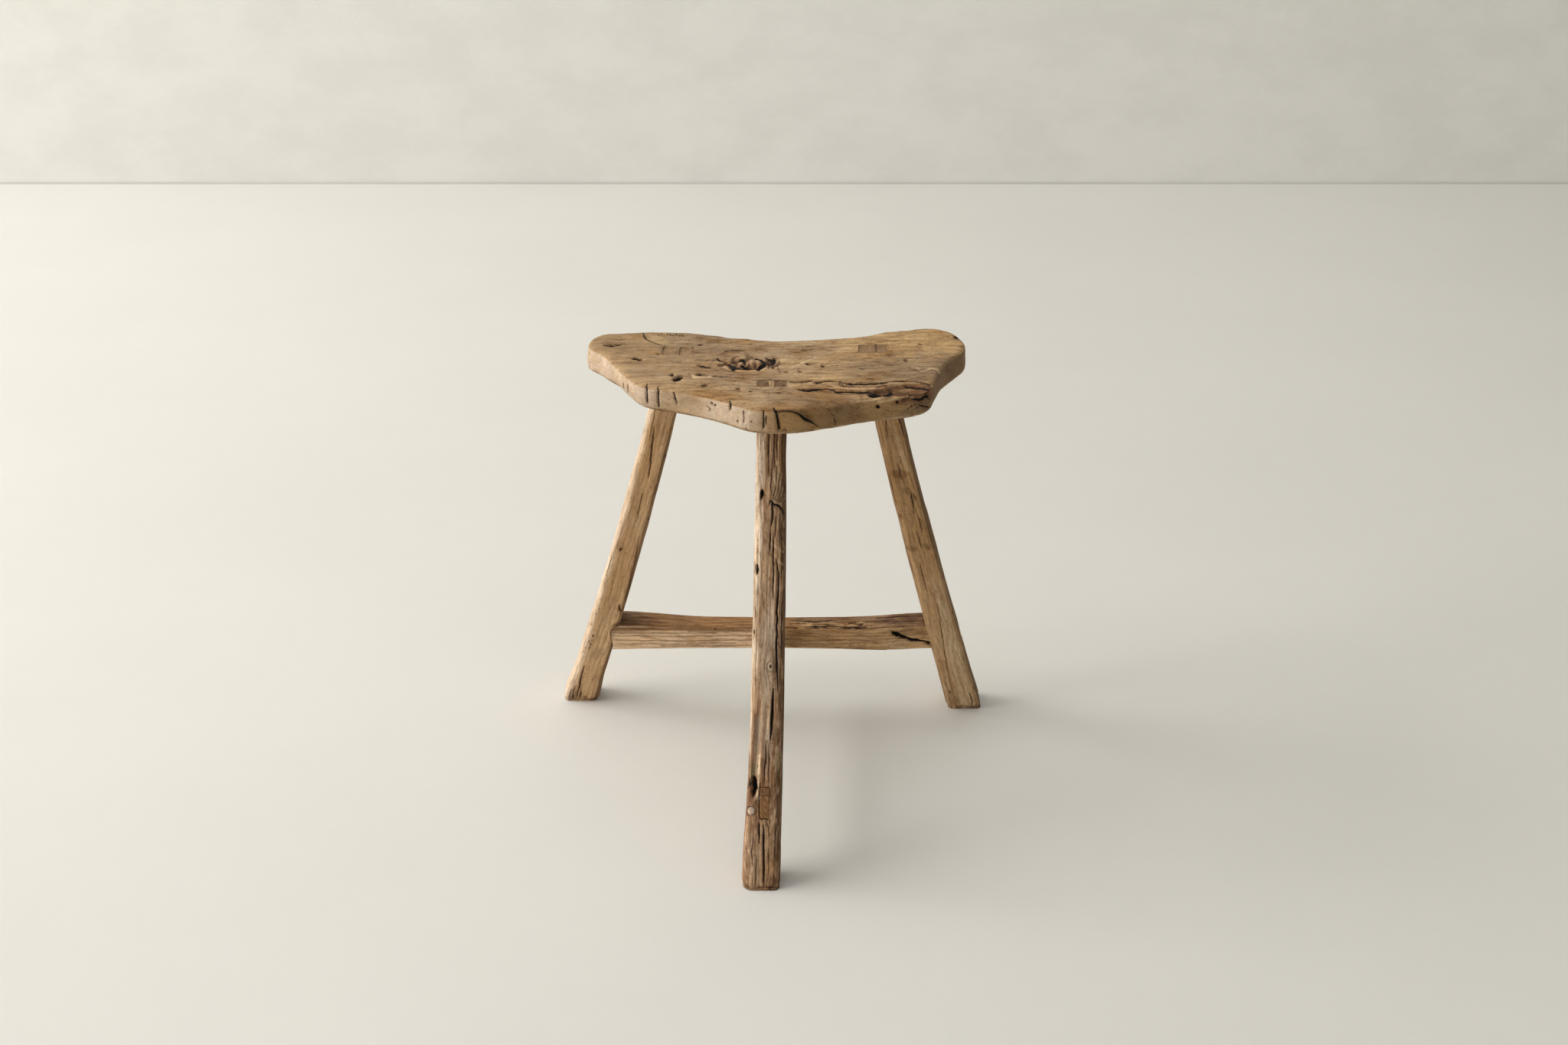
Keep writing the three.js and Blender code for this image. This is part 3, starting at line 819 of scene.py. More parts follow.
def weather_leg(block, end_colour, ridge):
    """Grain ridges, lumps, a foot rounded by wear, and seat tenons in end-grain colour, level with the
    seat's top; the seat's wear is put on them afterwards by wear_top.
    """
    z = block.points[:, Z]
    shaft = smooth(SEAT_UNDERSIDE, SEAT_UNDERSIDE - 3, z)
    block.depth += shaft * ridge * smooth(-0.5, 0.6, block.noise((60, 2.8, 2.8), 2, 2))
    block.depth += shaft * 0.7 * smooth(-0.5, 0.8, block.noise((55, 16, 16), 3, 3))
    wide = np.abs(block.normals[:, X] * block.normals[:, Y]) * 2
    block.depth += shaft * wide * 0.8 * smooth(-0.6, 0.4, block.noise((35, 12, 12), 4, 2))
    sole = smooth(6, 0, z) * smooth(0.95, 0.3, np.abs(block.normals[:, Z]))
    block.depth += sole * (1.4 + 2.2 * smooth(-0.8, 0.6, block.noise((6, 9, 9), 5, 3)))
    block.soil_and_shade(0.55 * smooth(9, 0, z) * smooth(-0.6, 0.5, block.noise((8, 6, 6), 6, 2)))
    tenon = smooth(SEAT_TOP - 6, SEAT_TOP - 1, z)
    block.tint(tenon, end_colour)
    swollen = smooth(SEAT_UNDERSIDE, SEAT_UNDERSIDE + 8, z) * smooth(0.6, 0.2, block.normals[:, Z])
    proud = smooth(SEAT_TOP - 5, SEAT_TOP - 2, z)
    block.points[z > SEAT_TOP - 2.2, Z] = SEAT_TOP
    block.depth = block.depth * shaft - (0.25 + 0.5 * proud) * swollen
    block.points[:, Z] = np.maximum(block.points[:, Z], SOLE_CLEARANCE)


def make_front_leg():
    block = leg_block("leg_front", LEG_GREY, 11, voxel=0.6)
    colour_front_leg(block)
    weather_leg(block, END_GRAIN, 0.5)
    crack_upper_front_leg(block)
    crack_lower_front_leg(block)
    rot_front_leg(block)
    return block


def colour_front_leg(block):
    """Grey-brown wood, redder low down, dark along its right edge and pale along its left; its right side is
    darker wood and painted shade.
    """
    u, _, z = block.points.T
    front, left = block.facing("front"), block.facing("left")
    ragged = block.noise((30, 4, 4), 9, 3)
    block.points[:, X] -= 2.4 * smooth(110, 15, z) * smooth(0.0, -0.7, block.normals[:, X])
    block.tint(smooth(185, 130, z + 25 * ragged), LEG_RED)
    bands = [
        ((0, 3), (230, 290), 0.6, (0.42, 0.27, 0.15)), ((8.5, 12), (370, 340), 0.7, (0.30, 0.18, 0.095)),
        ((2, 5), (185, 150), 0.8, (0.26, 0.145, 0.07)), ((7, 11), (230, 190), 0.8, (0.17, 0.10, 0.05)),
    ]
    for across, along, strength, colour in bands:
        block.tint(smooth(*across, u + 2 * ragged) * smooth(*along, z) * strength, colour)
    low_left = smooth(-5, -8, u + 2 * ragged) * smooth(180, 150, z) * smooth(60, 80, z)
    block.tint(low_left * 0.7, (0.27, 0.15, 0.08))
    # The right side: darker wood and painted shade.
    block.tint(block.facing("right"), LEG_DARK_SHADED)
    patches = [
        ((0, 222), (16, 84), 0.25, (0.60, 0.465, 0.34)), ((0, 152), (11, 90), 0.25, (0.64, 0.49, 0.345)),
        ((-3, 28), (26, 76), 0.4, (0.64, 0.45, 0.285)),
    ]
    for centre, size, tatter, colour in patches:
        block.tint(block.patch("front", centre, size, 0.6, tatter) * 0.8, colour)
    edge = -7.5 - 0.0009 * np.maximum(360 - z, 0) ** 1.6
    strip = smooth(1.5, -1.5, u + 1.5 * ragged - edge)
    block.tint(np.maximum(strip, left) * smooth(175, 215, z + 8 * ragged), LEG_CREAM)
    block.tint(strip * smooth(190, 215, z) * smooth(270, 235, z) * smooth(-0.1, 0.5, ragged) * 0.6, LEG_RED)
    block.tint(smooth(0.75, 0.95, -block.normals[:, X]) * smooth(100, 150, z), LEG_CREAM)
    flecks = smooth(0.25, 0.5, block.noise((7, 2.2, 2.2), 12, 2)) * smooth(160, 120, z)
    block.tint(flecks * 0.7 * front, (0.66, 0.46, 0.31))
    crust = smooth(0.3, 0.6, block.noise((8, 2.4, 2.4), 14, 2)) * smooth(3, 6, u) * smooth(360, 340, z)
    block.tint(crust * 0.6 * front, (0.55, 0.38, 0.23))


def crack_upper_front_leg(block):
    """The knot with its fan of pale fibres, the cracks below it and the holes down the left edge."""
    pale, dark = (0.68, 0.50, 0.32), (0.13, 0.075, 0.04)
    block.swirl("front", (0, 348), (22, 60), 0.6)
    for step in range(5):
        line = [(0.5 + 1.8 * step, 350 - 0.6 * step), (3.5 + 2.4 * step, 362 - 2.5 * step),
                (4.0 + 2.8 * step, 379 - 6.0 * step)]
        block.streak("front", line, 1.5, pale, 0.9, 0.2)
        block.streak("front", [(x + 1.3, z + 1.5) for x, z in line], 1.3, dark, 0.9, 0.2)
    block.streaks("front", [
        ([(1.5, 312), (7, 309), (13, 304.5)], 1.5, pale, 0.9, 0.2),
        ([(0.5, 305), (6, 300), (12, 293.5)], 1.5, pale, 0.9, 0.2),
        ([(-6.5, 352), (-5, 335), (-5.5, 312)], 2.4, (0.36, 0.19, 0.10), 0.7),
    ])
    block.cracks("front", [
        ([(-2, 346), (0, 350), (3, 347), (7, 346.5), (11, 343), (14.5, 336)], 1.8, 3, 0.4),
        ([(0.5, 349), (1.8, 341), (1.8, 334), (0.4, 326)], 1.8, 2.5, 0.4),
        ([(1.2, 392), (0.6, 375), (0.1, 352)], 0.9, 1), ([(-0.2, 326), (-0.2, 312), (0.2, 300)], 1.2, 1.5),
        ([(3.2, 322), (3, 300), (3.6, 285), (3, 262)], 1.2, 2),
        ([(6, 300), (8.2, 285), (7.6, 251), (7.8, 217), (9, 204), (8.8, 190)], 1.9, 3),
    ])
    for line in ([(10.5, 415), (10, 392), (11, 375)], [(9, 340), (9.6, 322), (9, 306)],
                 [(10.5, 330), (11.5, 300), (10.8, 275)], [(12.4, 262), (12.2, 235), (12.6, 210)],
                 [(5, 338), (5.4, 328), (5, 318)], [(6, 420), (5, 400), (5.6, 385)],
                 [(3, 418), (2.4, 398), (3.2, 380)], [(-2, 420), (-2.6, 400), (-2, 372)]):
        block.crack("front", line, 1.0, 1.2)
    block.pits("front", [
        ((-8.7, 355.5), (4.2, 10), 5, -6, 0.2), ((-12.6, 289), (3.6, 9), 5, 0, 0.3),
        ((-13.6, 250), (1.2, 9), 1.5, 0, 0.3), ((-14.2, 232), (1.2, 8), 1.5, 0, 0.3),
    ])
    block.pits("left", [((-9.5, 289), (6, 9), 4, 0, 0.3), ((-7.5, 383), (5, 12), 4, 0, 0.8)])


def crack_lower_front_leg(block):
    """The ringed knot and the long splits below it."""
    u, _, z = block.points.T
    block.swirl("front", (2.2, 203), (16, 30), 0.8)
    knot = np.hypot(u - 2.4, (z - 203) / 1.5)
    rings = np.sin(knot * 2.4) * smooth(7.5, 3, knot) * block.facing("front")
    block.depth += 0.3 * rings
    block.tint(0.8 * smooth(0.1, 0.6, rings), (0.22, 0.14, 0.08))
    block.pit("front", (2.4, 203), (1.8, 2.6), 1.2)
    block.cracks("front", [
        ([(5.4, 184), (4.8, 160), (4, 136)], 2.6, 4, 0.3), ([(7.2, 225), (8.4, 200), (9.6, 180)], 1.8, 2),
        ([(0.2, 137), (-0.6, 115), (-1.0, 97)], 1.3, 2), ([(2.2, 137), (2.8, 115), (3.2, 97)], 1.0, 1.4),
        ([(-4.7, 64), (-4.6, 53), (-4.3, 42)], 1.6, 2.4), ([(1.6, 64), (4, 58), (5, 48)], 0.8, 0.8),
        ([(-0.8, 61), (0, 42), (1.2, 18), (1.4, 1)], 1.8, 3), ([(11, 60), (11.2, 44), (10.8, 31)], 0.9, 0.9),
        ([(-10, 50), (-11, 36), (-9.6, 22)], 0.9, 0.9), ([(5, 40), (5.6, 24), (5, 8)], 0.9, 0.9),
        ([(-6, 34), (-6.6, 18), (-6, 6)], 0.9, 0.9),
    ])


def rot_front_leg(block):
    """A torn channel, bare and pale, that ends in a rot hole, and a small burl on the right."""
    z = block.points[:, Z]
    course = [(-8.0, 156), (-8.6, 140), (-8.8, 122), (-10, 108)]
    channel, _ = line_distance(block.on("front"), course)
    torn = smooth(4.2, 1.8, np.abs(channel)) * block.facing("front") * smooth(100, 108, z)
    block.depth += 2.2 * torn
    block.tint(0.8 * torn, (0.56, 0.43, 0.31))
    rim = [(-7.2, 122), (-6.4, 108), (-6.2, 96), (-7.4, 87), (-10, 83.5)]
    block.streak("front", rim, 1.8, (0.84, 0.66, 0.47), 0.9, 0.3)
    block.pit("front", (-11.0, 94.5), (8, 18), 9, 3, 0.35)
    block.pit("left", (-11, 96), (8, 12), 5, 0, 0.8)
    block.tint(block.patch("front", (-14, 107), (7, 12), 0.4, 0.4) * 0.8, (0.30, 0.235, 0.12))
    block.crack("front", [(-4.8, 99), (-4.6, 88)], 1.0, 2.0)
    burl = block.patch("front", (12, 117), (8, 20), 0.5)
    block.depth -= 0.8 * burl
    block.tint(burl, (0.33, 0.24, 0.125))


def make_rear_left_leg():
    block = leg_block("leg_rear_left", LEG_TAN, 17)
    u, _, z = block.points.T
    ragged = block.noise((30, 4, 4), 9, 3)
    sides = smooth(0.1, 0.7, np.abs(block.normals[:, X])) * np.sign(u)
    block.points[:, X] += 2.2 * smooth(45, 5, z) * sides
    block.tint(block.facing("left") * 0.7, LEG_CREAM)
    block.tint(smooth(-8, -12, u + 1.5 * ragged) * 0.5, LEG_CREAM)
    block.tint(smooth(13.5, 16.0, u + ragged) * 0.7, (0.30, 0.185, 0.09))
    # The right side: darker wood and painted shade.
    block.tint(block.facing("right"), (0.28, 0.165, 0.08))
    block.tint(smooth(0.1, 0.8, block.noise((60, 10, 10), 13, 2)) * 0.35, (0.50, 0.33, 0.175))
    block.tint(0.5 * smooth(320, 380, z) * smooth(-8, -4, u), (0.46, 0.295, 0.155))
    block.smoothen(0.4 * np.ones(len(z)))
    weather_leg(block, LEG_OAK, 0.25)
    block.cracks("front", [
        ([(-5, 368), (-2.6, 346), (-0.3, 327), (2.7, 303)], 1.1, 2),
        ([(-9, 400), (-8, 380), (-6.6, 350)], 0.7, 0.8), ([(0.6, 286), (1.5, 265), (1.9, 247)], 0.7, 1),
        ([(9.5, 230), (12.7, 190), (14.5, 160), (15.2, 138)], 0.9, 1.2),
        ([(13, 250.5), (16.5, 249)], 1.4, 2), ([(-14, 205), (-13.5, 175)], 0.7, 0.8),
        ([(-8, 54), (-7.2, 30), (-5.2, 3)], 1.5, 2.4),
    ])
    for across, low, high in ((-14.5, 1, 17), (-11.5, 1, 22), (-2.0, 2, 14), (-9.6, 0, 11), (3.5, 2, 9)):
        block.crack("front", [(across, high), (across + 1.2, low)], 1.0, 1.2)
    block.pits("front", [((-6.8, 212), (2.6, 4.2), 2.5), ((14.8, 330), (1.6, 3), 1.5)])
    for place in ((-14.8, 109), (-8.8, 94), (-8.3, 88), (-8.4, 82), (-14.4, 76), (-14.8, 71), (-9, 77),
                  (-11, 85)):
        block.pit("front", place, (1.7, 2.6), 1.6)
    block.soil_and_shade(0.4 * block.patch("front", (-9, 8), (22, 24), 0.6))

    # A swollen knot just above the stretcher, and the corner cut back where the stretcher laps over.
    swell = block.patch("front", (12, 124), (15, 30), 0.7, 0.1)
    block.depth -= 2.6 * swell
    block.swirl("front", (12, 124), (16, 34), 0.7)
    block.crack("front", [(9.5, 138), (11.5, 131), (14.5, 128)], 1.6, 2.0)
    # Painted shadow just below the swollen knot, where the stretcher's top meets the leg.
    block.soil_and_shade(0.8 * block.patch("front", (14, 108), (12, 8), 0.6))
    block.soil_and_shade(0.3 * block.patch("front", (2, 70), (14, 14), 0.5))
    limit = LAP_SIDE - lap(z - 90)
    beyond = np.maximum(u - limit, 0) * smooth(106, 103.5, z) * smooth(72, 75, z)
    block.points[:, X] -= 0.9 * beyond
    return block


def make_rear_right_leg():
    block = leg_block("leg_rear_right", LEG_GOLD, 23)
    u, _, z = block.points.T
    front = block.facing("front")
    ragged = block.noise((30, 4, 4), 9, 3)
    block.tint(smooth(-12, -15, u + 0.5 * ragged) * 0.8, LEG_UMBER)
    block.tint(smooth(12, 15, u + 0.5 * ragged) * 0.5, (0.36, 0.23, 0.12))
    # The right side: darker wood and painted shade.
    block.tint(block.facing("right"), (0.24, 0.14, 0.06))
    block.tint(0.6 * smooth(250, 120, z) * front, (0.68, 0.455, 0.245))
    # A pale slanting facet low on the right, and a narrow one higher up.
    facet = smooth(0, 1.5, u + 6.5 - 0.055 * z + 0.4 * ragged) * smooth(215, 195, z + 6 * u)
    block.tint(0.8 * facet * front * smooth(14, 12, u), (0.66, 0.48, 0.29))
    slant = smooth(3.5, 1, np.abs(u - 3 + 0.11 * (z - 350)))
    block.tint(0.7 * slant * front * smooth(300, 325, z), (0.62, 0.44, 0.25))
    block.smoothen(0.35 * np.ones(len(z)))
    weather_leg(block, LEG_UMBER, 0.25)
    block.cracks("front", [
        ([(8.5, 395), (11, 370), (12.5, 352)], 1.3, 1.6), ([(4.8, 286), (4, 275), (4, 265)], 1.3, 1.6),
        ([(2.7, 146), (-1, 110), (-6, 60), (-9, 20)], 0.7, 0.5), ([(10, 24), (11, 12), (9, 3)], 1, 1),
    ])
    for line in ([(-4, 395), (-3, 372), (-5, 350)], [(7, 285), (8.4, 276)], [(-2, 322), (-1.5, 300)],
                 [(-13, 310), (-14.5, 290), (-14, 270)], [(0, 240), (1, 228), (1, 214)],
                 [(6, 262), (6.6, 248), (6, 236)], [(-5, 200), (-5.4, 180), (-5, 160)]):
        block.crack("front", line, 0.8, 0.8)
    for place, size in (((-1.5, 309), (22, 9)), ((2, 287), (9, 8)), ((-9, 216), (13, 6)),
                        ((8, 219), (12, 8)), ((-13, 256), (5, 8)), ((4, 263), (6, 6))):
        block.soil_and_shade(0.5 * block.patch("front", place, size, 0.4, 0.6))
    for place in ((17.2, 130), (17.4, 93), (17.8, 27), (16, 341)):
        block.pit("front", place, (1.6, 5), 2.0)
    block.pit("front", (-11, 24), (2, 3), 1.5)
    block.soil_and_shade(0.4 * block.patch("front", (-10, 12), (12, 18), 0.6))
    return block


# ---------------------------------------------------------------- stretchers

def stretcher_line():
    """The rear stretcher's middle line, from its outermost sections clear of the legs."""
    points = cad_points("stretcher_rear")
    clear = points[np.abs(points[:, X]) < 150]
    ends = []
    for end in (clear[:, X].min(), clear[:, X].max()):
        section = clear[np.abs(clear[:, X] - end) < 1]
        ends.append((section.min(axis=0) + section.max(axis=0)) / 2)
    left, right = ends

    def offset(along):
        share = ((along - left[X]) / (right[X] - left[X]))[:, None]
        middle = left + share * (right - left)
        middle[:, X] = 0
        return middle
    return offset


def make_rear_stretcher():
    block = Block("stretcher_rear", X, Z, voxel=0.85, stretch=1.7, colour=STRETCHER_PINK, seed=29,
                  bend=stretcher_line())
    colour_rear_stretcher(block)
    crack_rear_stretcher(block)
    split_right_end(block)
    shape_rear_stretcher(block)
    return block


def stretcher_front(block):
    """1 on the stretcher's front, 0 on its rounded corners and its other sides."""
    return smooth(0.35, 0.75, -block.normals[:, Y])


def colour_rear_stretcher(block):
    """A pinkish front, browner on the right, and a dark brown top."""
    x, w, h = block.points.T
    front = stretcher_front(block)
    top = smooth(0.5, 0.8, block.normals[:, Z])
    ragged = block.noise((40, 4, 4), 9, 3)
    block.tint(block.facing("under"), (0.34, 0.22, 0.12))
    block.tint(block.facing("back"), (0.40, 0.26, 0.14))
    block.tint(front, (0.92, 0.67, 0.44))
    block.tint(front * smooth(-15, 35, x + 10 * ragged), (0.58, 0.375, 0.185))
    block.tint(top, STRETCHER_BROWN)
    # Painted shadow darkens the top towards its left end.
    block.tint(top * smooth(-110, -165, x) * 0.7, (0.22, 0.15, 0.09))
    block.tint(top * smooth(0, 50, x) * 0.9, (0.29, 0.175, 0.09))
    ridge = smooth(3, 1, np.abs(h - 10.5 + 0.8 * ragged)) * smooth(0, -6, w)
    block.tint(ridge * smooth(-5, -40, x) * 0.9, (0.32, 0.165, 0.065))
    block.smoothen(0.35 * front * smooth(20, -20, x))
    # Worm-eaten band along the front of the top, right of the middle.
    wormy = smooth(16, 30, x) * smooth(122, 100, x) * smooth(4, -4, w + 2 * ragged) * block.facing("top")
    crumbs = smooth(-0.3, 0.5, block.noise((8, 2.4, 2.4), 22, 3))
    block.depth += 0.3 * smooth(-0.5, 0.6, block.noise((60, 2.8, 2.8), 2, 2))
    block.depth += 0.6 * smooth(-0.5, 0.8, block.noise((60, 16, 16), 3, 3))
    block.depth += wormy * (0.6 + 2.4 * crumbs)
    # The worm holes darken with their depth: dirt and painted shade.
    block.soil_and_shade(wormy * crumbs)
    block.tint(wormy * (1 - crumbs) * 0.8, (0.60, 0.39, 0.19))
    block.tint(block.patch("top", (38, -5), (12, 7), 0.3), (0.66, 0.44, 0.22))


def crack_rear_stretcher(block):
    """Checks along the top, and fine dark lines along the front."""
    block.cracks("top", [
        ([(20, 4), (45, 2), (70, 3.5)], 1.6, 1.5), ([(22, -8), (60, -9), (98, -12)], 2.2, 2.4),
        ([(90, -3), (120, -1), (160, -4)], 1.4, 1.2), ([(110, 6), (140, 7), (168, 5)], 1.6, 1.2),
    ])
    for height, start, end in ((6.5, -170, -60), (3.4, -175, -20), (-2.0, -165, 0), (-6.0, -150, -40),
                               (4.2, 20, 120), (-1.5, 30, 118), (-5.5, 40, 110), (8.5, -90, -15),
                               (-9.0, -120, -20), (-9.0, 20, 100)):
        middle = ((start + end) / 2, height - 0.8)
        line = [(start, height), middle, (end, height + 0.6)]
        block.streak("front", line, 1.2, (0.36, 0.235, 0.13), 0.7, 0.6)
    block.pit("front", (-61, 11.5), (2.4, 2.0), 1.2)
    # A painted shadow darkens the front just right of the middle stretcher's joint.
    block.soil_and_shade(0.5 * block.patch("front", (26, 2), (26, 20), 0.7))


def split_right_end(block):
    """The right end has split open, and its lower lip is rotting away."""
    x, _, h = block.points.T
    lip = smooth(124, 129, x) * smooth(2, -1, h + 0.2 * (x - 136)) * stretcher_front(block)
    block.depth += lip * (0.6 + 1.2 * smooth(-0.4, 0.5, block.noise((9, 4, 4), 24, 3)))
    block.tint(lip * 0.8, (0.66, 0.45, 0.25))
    block.crack("front", [(128, 8), (133, 5), (140, 2), (150, -1), (160, -3), (172, -7)], 4.0, 8, 0.8)
    block.pits("front", [
        ((134, 5), (13, 5), 7, -28, 0.8), ((150, -2), (12, 4), 7, -12, 0.8),
        ((170, -7), (15, 8), 8, 0, 0.8),
    ])
    block.soil_and_shade(0.6 * block.patch("top", (150, 0), (60, 24), 0.6, 0.5))
    block.soil_and_shade(0.4 * block.patch("front", (150, 9), (50, 8), 0.6, 0.5))


def shape_rear_stretcher(block):
    """Bend the ends to what they meet. The tenons keep their shape."""
    x, w, h = block.points.T
    body = np.maximum(smooth(6, 8, np.abs(w)), smooth(11.5, 13, np.abs(h)))
    shaft = np.maximum(body, smooth(172, 166, np.abs(x)))

    # The top rises towards both ends, most at its back, and the right end's lower edge is eaten away.
    rise = 3.4 * smooth(-70, -165, x) + 2.6 * smooth(90, 165, x)
    eaten = 0.8 * smooth(122, 126, x) + 2.6 * smooth(126, 172, x)
    lift = rise * smooth(0, 11, h) * (1 + 0.03 * w) + eaten * smooth(0, -11, h)
    block.points[:, Z] += shaft * lift

    # The left end laps over the leg's corner, further at its top than at its foot. The right end
    # reaches round the other leg's corner.
    block.points[:, X] -= body * smooth(-145, -165, x) * lap(h)
    block.points[:, X] += body * smooth(150, 168, x) * np.clip(-w - 10.5, 0, 4.5)


def make_middle_stretcher():
    block = Block("stretcher_middle", Y, X, voxel=0.85, stretch=1.7, colour=(0.38, 0.25, 0.13), seed=37)
    y, z = block.points[:, Y], block.points[:, Z]
    clear = smooth(-140, -130, y)
    block.depth += 0.3 * smooth(-0.5, 0.6, block.noise((60, 2.8, 2.8), 2, 2)) * clear
    block.depth += 0.5 * smooth(-0.5, 0.8, block.noise((60, 16, 16), 3, 3)) * clear
    block.tint(block.facing("left") * 0.6, LEG_TAN)
    # The right side: darker wood and painted shade.
    block.tint(block.facing("right") * 0.8, LEG_DARK_SHADED)
    block.tint(block.facing("top"), STRETCHER_BROWN)
    block.tint(smooth(-160, -172, y), (0.38, 0.20, 0.078))
    block.crack("left", [(-120, 84), (-40, 86), (60, 90)], 1.2, 1.4)
    block.crack("right", [(-100, 78), (0, 82), (120, 88)], 1.2, 1.4)
    block.crack("top", [(-11, -90), (-9, 0), (-12, 110)], 1.0, 1.2)

    # The tenon's end shows in the front leg, with saw lines across it and dirt along its foot.
    front_end = smooth(-172, -174.5, y) * block.facing("front")
    saw_lines = smooth(0.35, 0.8, np.sin(z * 2 * math.pi / SAW_LINE_SPACING)) * front_end
    block.depth += 0.25 * saw_lines
    block.soil_and_shade(0.45 * saw_lines)
    block.soil_and_shade(0.5 * smooth(66.5, 65.4, z) * front_end)
    return block


# ---------------------------------------------------------------- wedges and peg

def make_seat_wedge(node, colour, seed):
    block = Block(node, Z, X, voxel=0.35, stretch=1.5, colour=colour, seed=seed)
    block.points[block.points[:, Z] > SEAT_TOP - 0.8, Z] = SEAT_TOP
    worn = smooth(SEAT_TOP - 4, SEAT_TOP - 0.5, block.points[:, Z])
    block.points[:, Z] -= 0.2 * worn * smooth(-0.6, 0.6, block.noise((4, 2.5, 2.5), 2, 2))
    block.soil_and_shade(0.3 * smooth(-0.1, 0.7, block.noise((3, 2, 4), 3, 2)))
    block.depth -= (0.3 + 0.4 * worn) * smooth(0.6, 0.2, block.normals[:, Z])
    wear_top(block)
    return block


def make_filler():
    block = Block("wedge_stretcher_front", Y, X, voxel=0.4, stretch=2, colour=(0.29, 0.15, 0.065), seed=53)
    block.soil_and_shade(0.4 * smooth(0, 0.6, block.noise((5, 2, 2), 3, 2)))
    return block


def make_peg():
    block = Block("peg_front", Y, X, voxel=0.4, stretch=1.0, colour=PALE_PEG, seed=59)
    offset = block.points - (block.points.min(axis=0) + block.points.max(axis=0)) / 2
    heading = np.array([offset[:, X].max(), offset[:, Y].max(), 0])
    heading /= np.linalg.norm(heading)
    along = offset @ heading
    rim = np.linalg.norm(offset - along[:, None] * heading, axis=1)
    end = smooth(2.0, 0.0, np.abs(along).max() - np.abs(along))
    block.depth += 0.5 * end * smooth(2.0, 3.6, rim)
    block.points -= heading * (0.2 * smooth(0, along.min(), along))[:, None]
    block.soil_and_shade(0.3 * smooth(0.1, 0.7, block.noise((3, 1.5, 1.5), 3, 2)))
    return block


def make_stool():
    seat_wood = wood("weathered_seat_wood", 1.2, 9.0, (-40, 520), 1.3, 0.5, 1.0, 0.5)
    leg_wood = wood("weathered_leg_wood", 1.0, 4.2, (12, 16), 1.0, 0.9, 1.0, 0.45)
    stretcher_wood = wood("weathered_stretcher_wood", 1.0, 4.6, (-14, 20), 0.9, 0.8, 1.0, 0.4)
    wedge_wood = wood("driven_wedge_wood", 0.9, 1.6, (6, 5), 0.6, 0.7, 0.6, 0.5)
    peg_wood = wood("pale_peg_wood", 0.9, 1.4, (0, 0), 0.3, 0.3, 0.3, 0.3)

    make_seat().place("seat_slab", "seat_wood", seat_wood)
    legs = (("front_leg", make_front_leg), ("rear_left_leg", make_rear_left_leg),
            ("rear_right_leg", make_rear_right_leg))
    for name, make_leg in legs:
        leg = make_leg()
        wear_top(leg)
        leg.place(name, "leg_wood", leg_wood)
    make_rear_stretcher().place("rear_stretcher", "stretcher_wood", stretcher_wood)
    make_middle_stretcher().place("middle_stretcher", "stretcher_wood", stretcher_wood)
    wedges = (("front", (0.48, 0.33, 0.18)), ("rear_left", LEG_OAK), ("rear_right", LEG_UMBER))
    for seed, (where, colour) in enumerate(wedges, 41):
        wedge = make_seat_wedge("wedge_" + where, colour, seed)
        wedge.place("seat_wedge_" + where, "wedge_wood", wedge_wood)
    make_filler().place("mortise_filler", "wedge_wood", wedge_wood)
    make_peg().place("front_peg", "peg_wood", peg_wood)


# ---------------------------------------------------------------- room, light and camera

ROOM_SIZE = 30
WALL_Y = 2.2
PAINTED_SHADOW_LINE_HEIGHT = 0.004


def mottled(name, light, dark, size, bump):
    """A plain painted surface with faint cloudy variation and a slight texture."""
    n = Nodes(name)
    place = n.add("NewGeometry", {}).outputs["Position"]
    cloud = n.noise(place, size, 6, 0.62)
    grit = n.noise(place, (0.006, 0.006, 0.006), 3, 0.6)
    n.fill(n.shader.inputs["Base Color"], n.mix(n.step(cloud, 0.32, 0.68), (*dark, 1), (*light, 1)))
    n.shader.inputs["Roughness"].default_value = 0.75
    made = n.add("Bump", {"Height": n.math("ADD", cloud, grit), "Strength": bump, "Distance": 0.5 * MM})
    n.fill(n.shader.inputs["Normal"], made.outputs["Normal"])
    return n.material


def backdrop(name, place, turn, depth, material):
    bpy.ops.mesh.primitive_plane_add(size=1, location=place, rotation=(math.radians(turn), 0, 0))
    sheet = bpy.context.object
    sheet.name = name
    sheet.scale = (ROOM_SIZE, depth, 1)
    sheet.data.materials.append(material)


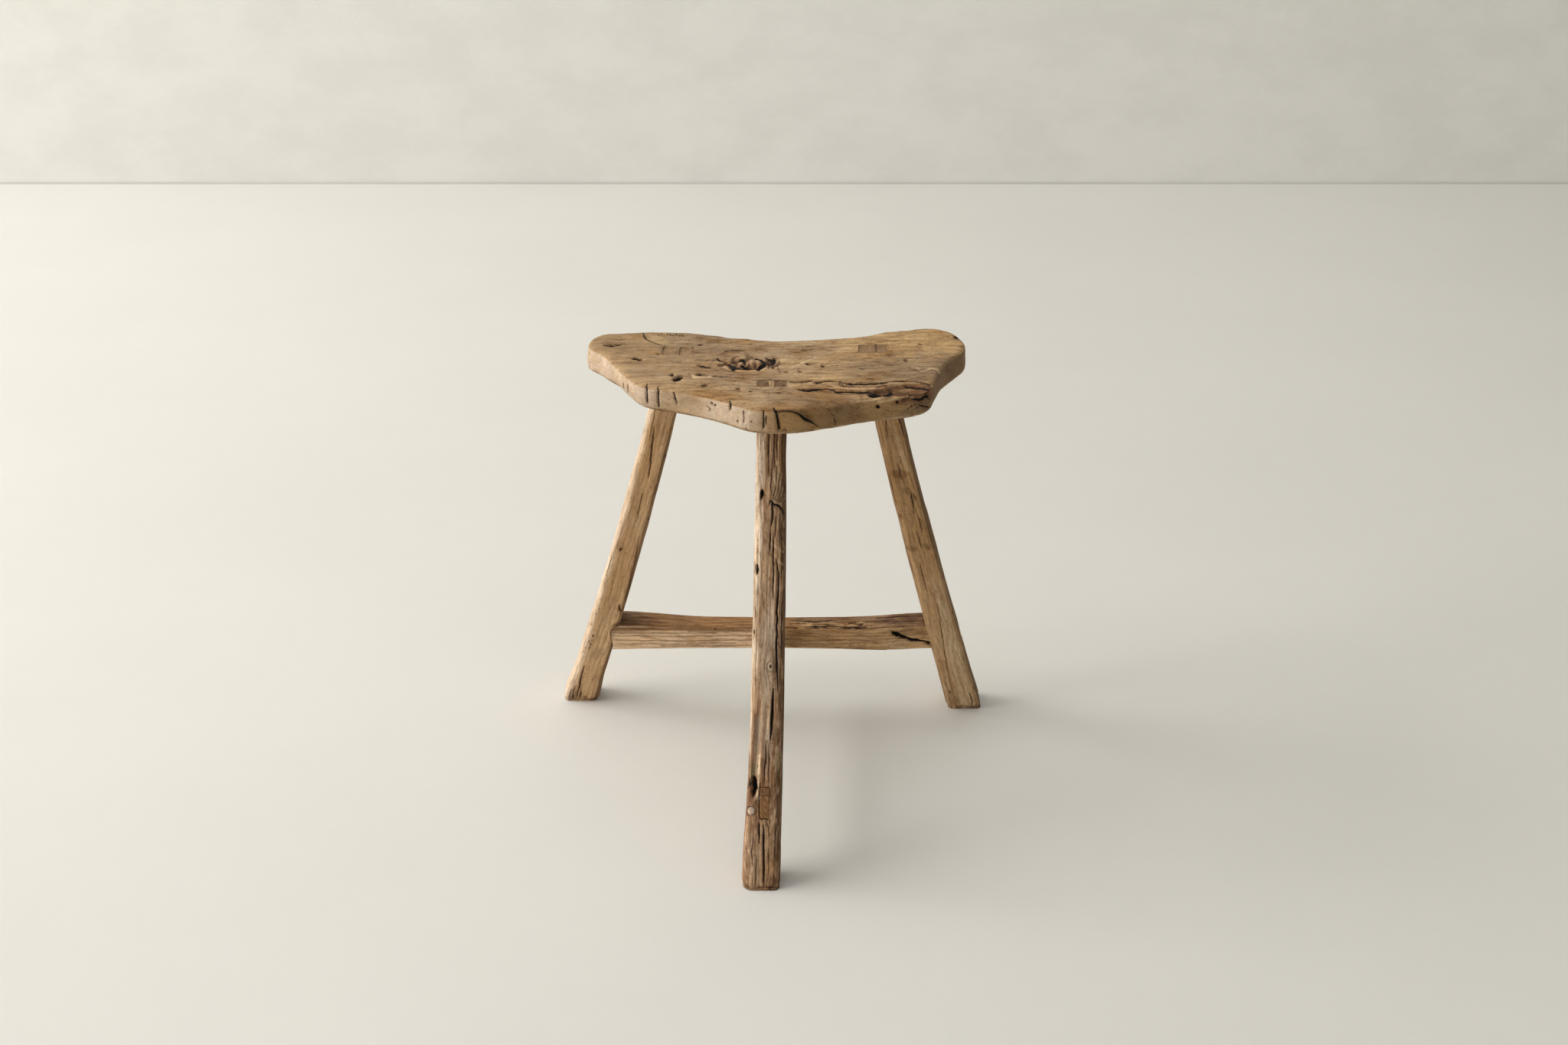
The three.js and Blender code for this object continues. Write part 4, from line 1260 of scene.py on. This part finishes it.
def make_room():
    floor = mottled("pale_floor", (0.745, 0.73, 0.685), (0.725, 0.71, 0.665), (0.6, 0.5, 0.5), 0.25)
    wall = mottled("pale_plaster", (0.85, 0.835, 0.79), (0.80, 0.785, 0.74), (0.14, 0.14, 0.09), 0.4)
    # The thin dark strip along the foot of the wall is painted shadow: the line where the wall meets the
    # floor.
    foot = mottled("painted_shadow_line", (0.72, 0.705, 0.67), (0.68, 0.665, 0.63), (0.3, 0.3, 0.3), 0.2)
    backdrop("floor", (0, 0, 0), 0, ROOM_SIZE, floor)
    backdrop("wall", (0, WALL_Y, 0), 90, ROOM_SIZE, wall)
    in_front = (0, WALL_Y - MM, PAINTED_SHADOW_LINE_HEIGHT / 2)
    backdrop("painted_shadow_strip", in_front, 90, PAINTED_SHADOW_LINE_HEIGHT, foot)


LIGHT_COLOUR = (1.0, 0.985, 0.955)


def area_light(name, place, target, size, power):
    data = bpy.data.lights.new(name, "AREA")
    data.shape = "RECTANGLE"
    data.size, data.size_y = size
    data.energy = power
    data.color = LIGHT_COLOUR
    light = add_object(name, data)
    light.location = place
    aim = Vector(target) - light.location
    light.rotation_euler = aim.to_track_quat("-Z", "Y").to_euler()


def make_light():
    world = bpy.data.worlds.new("room")
    scene.world = world
    world.use_nodes = True
    background = world.node_tree.nodes["Background"]
    background.inputs["Color"].default_value = (1.0, 0.985, 0.95, 1)
    background.inputs["Strength"].default_value = 0.33
    area_light("window", (-5.5, 0.9, 2.9), (0, 0, 0.2), (7.5, 4.6), 625)
    area_light("skylight", (-1.2, 0.7, 4.3), (-1.2, 0.7, 0), (4, 4), 39)


CAMERA_PLACE = (0.01275, -1.939125, 1.2)
CAMERA_LOOKS_DOWN = 25


def make_camera():
    data = bpy.data.cameras.new("camera")
    data.lens = 50
    data.sensor_width = 36
    camera = add_object("camera", data)
    camera.location = CAMERA_PLACE
    camera.rotation_euler = (math.radians(90 - CAMERA_LOOKS_DOWN), 0, 0)
    scene.camera = camera


make_camera()
make_light()
make_room()
make_stool()
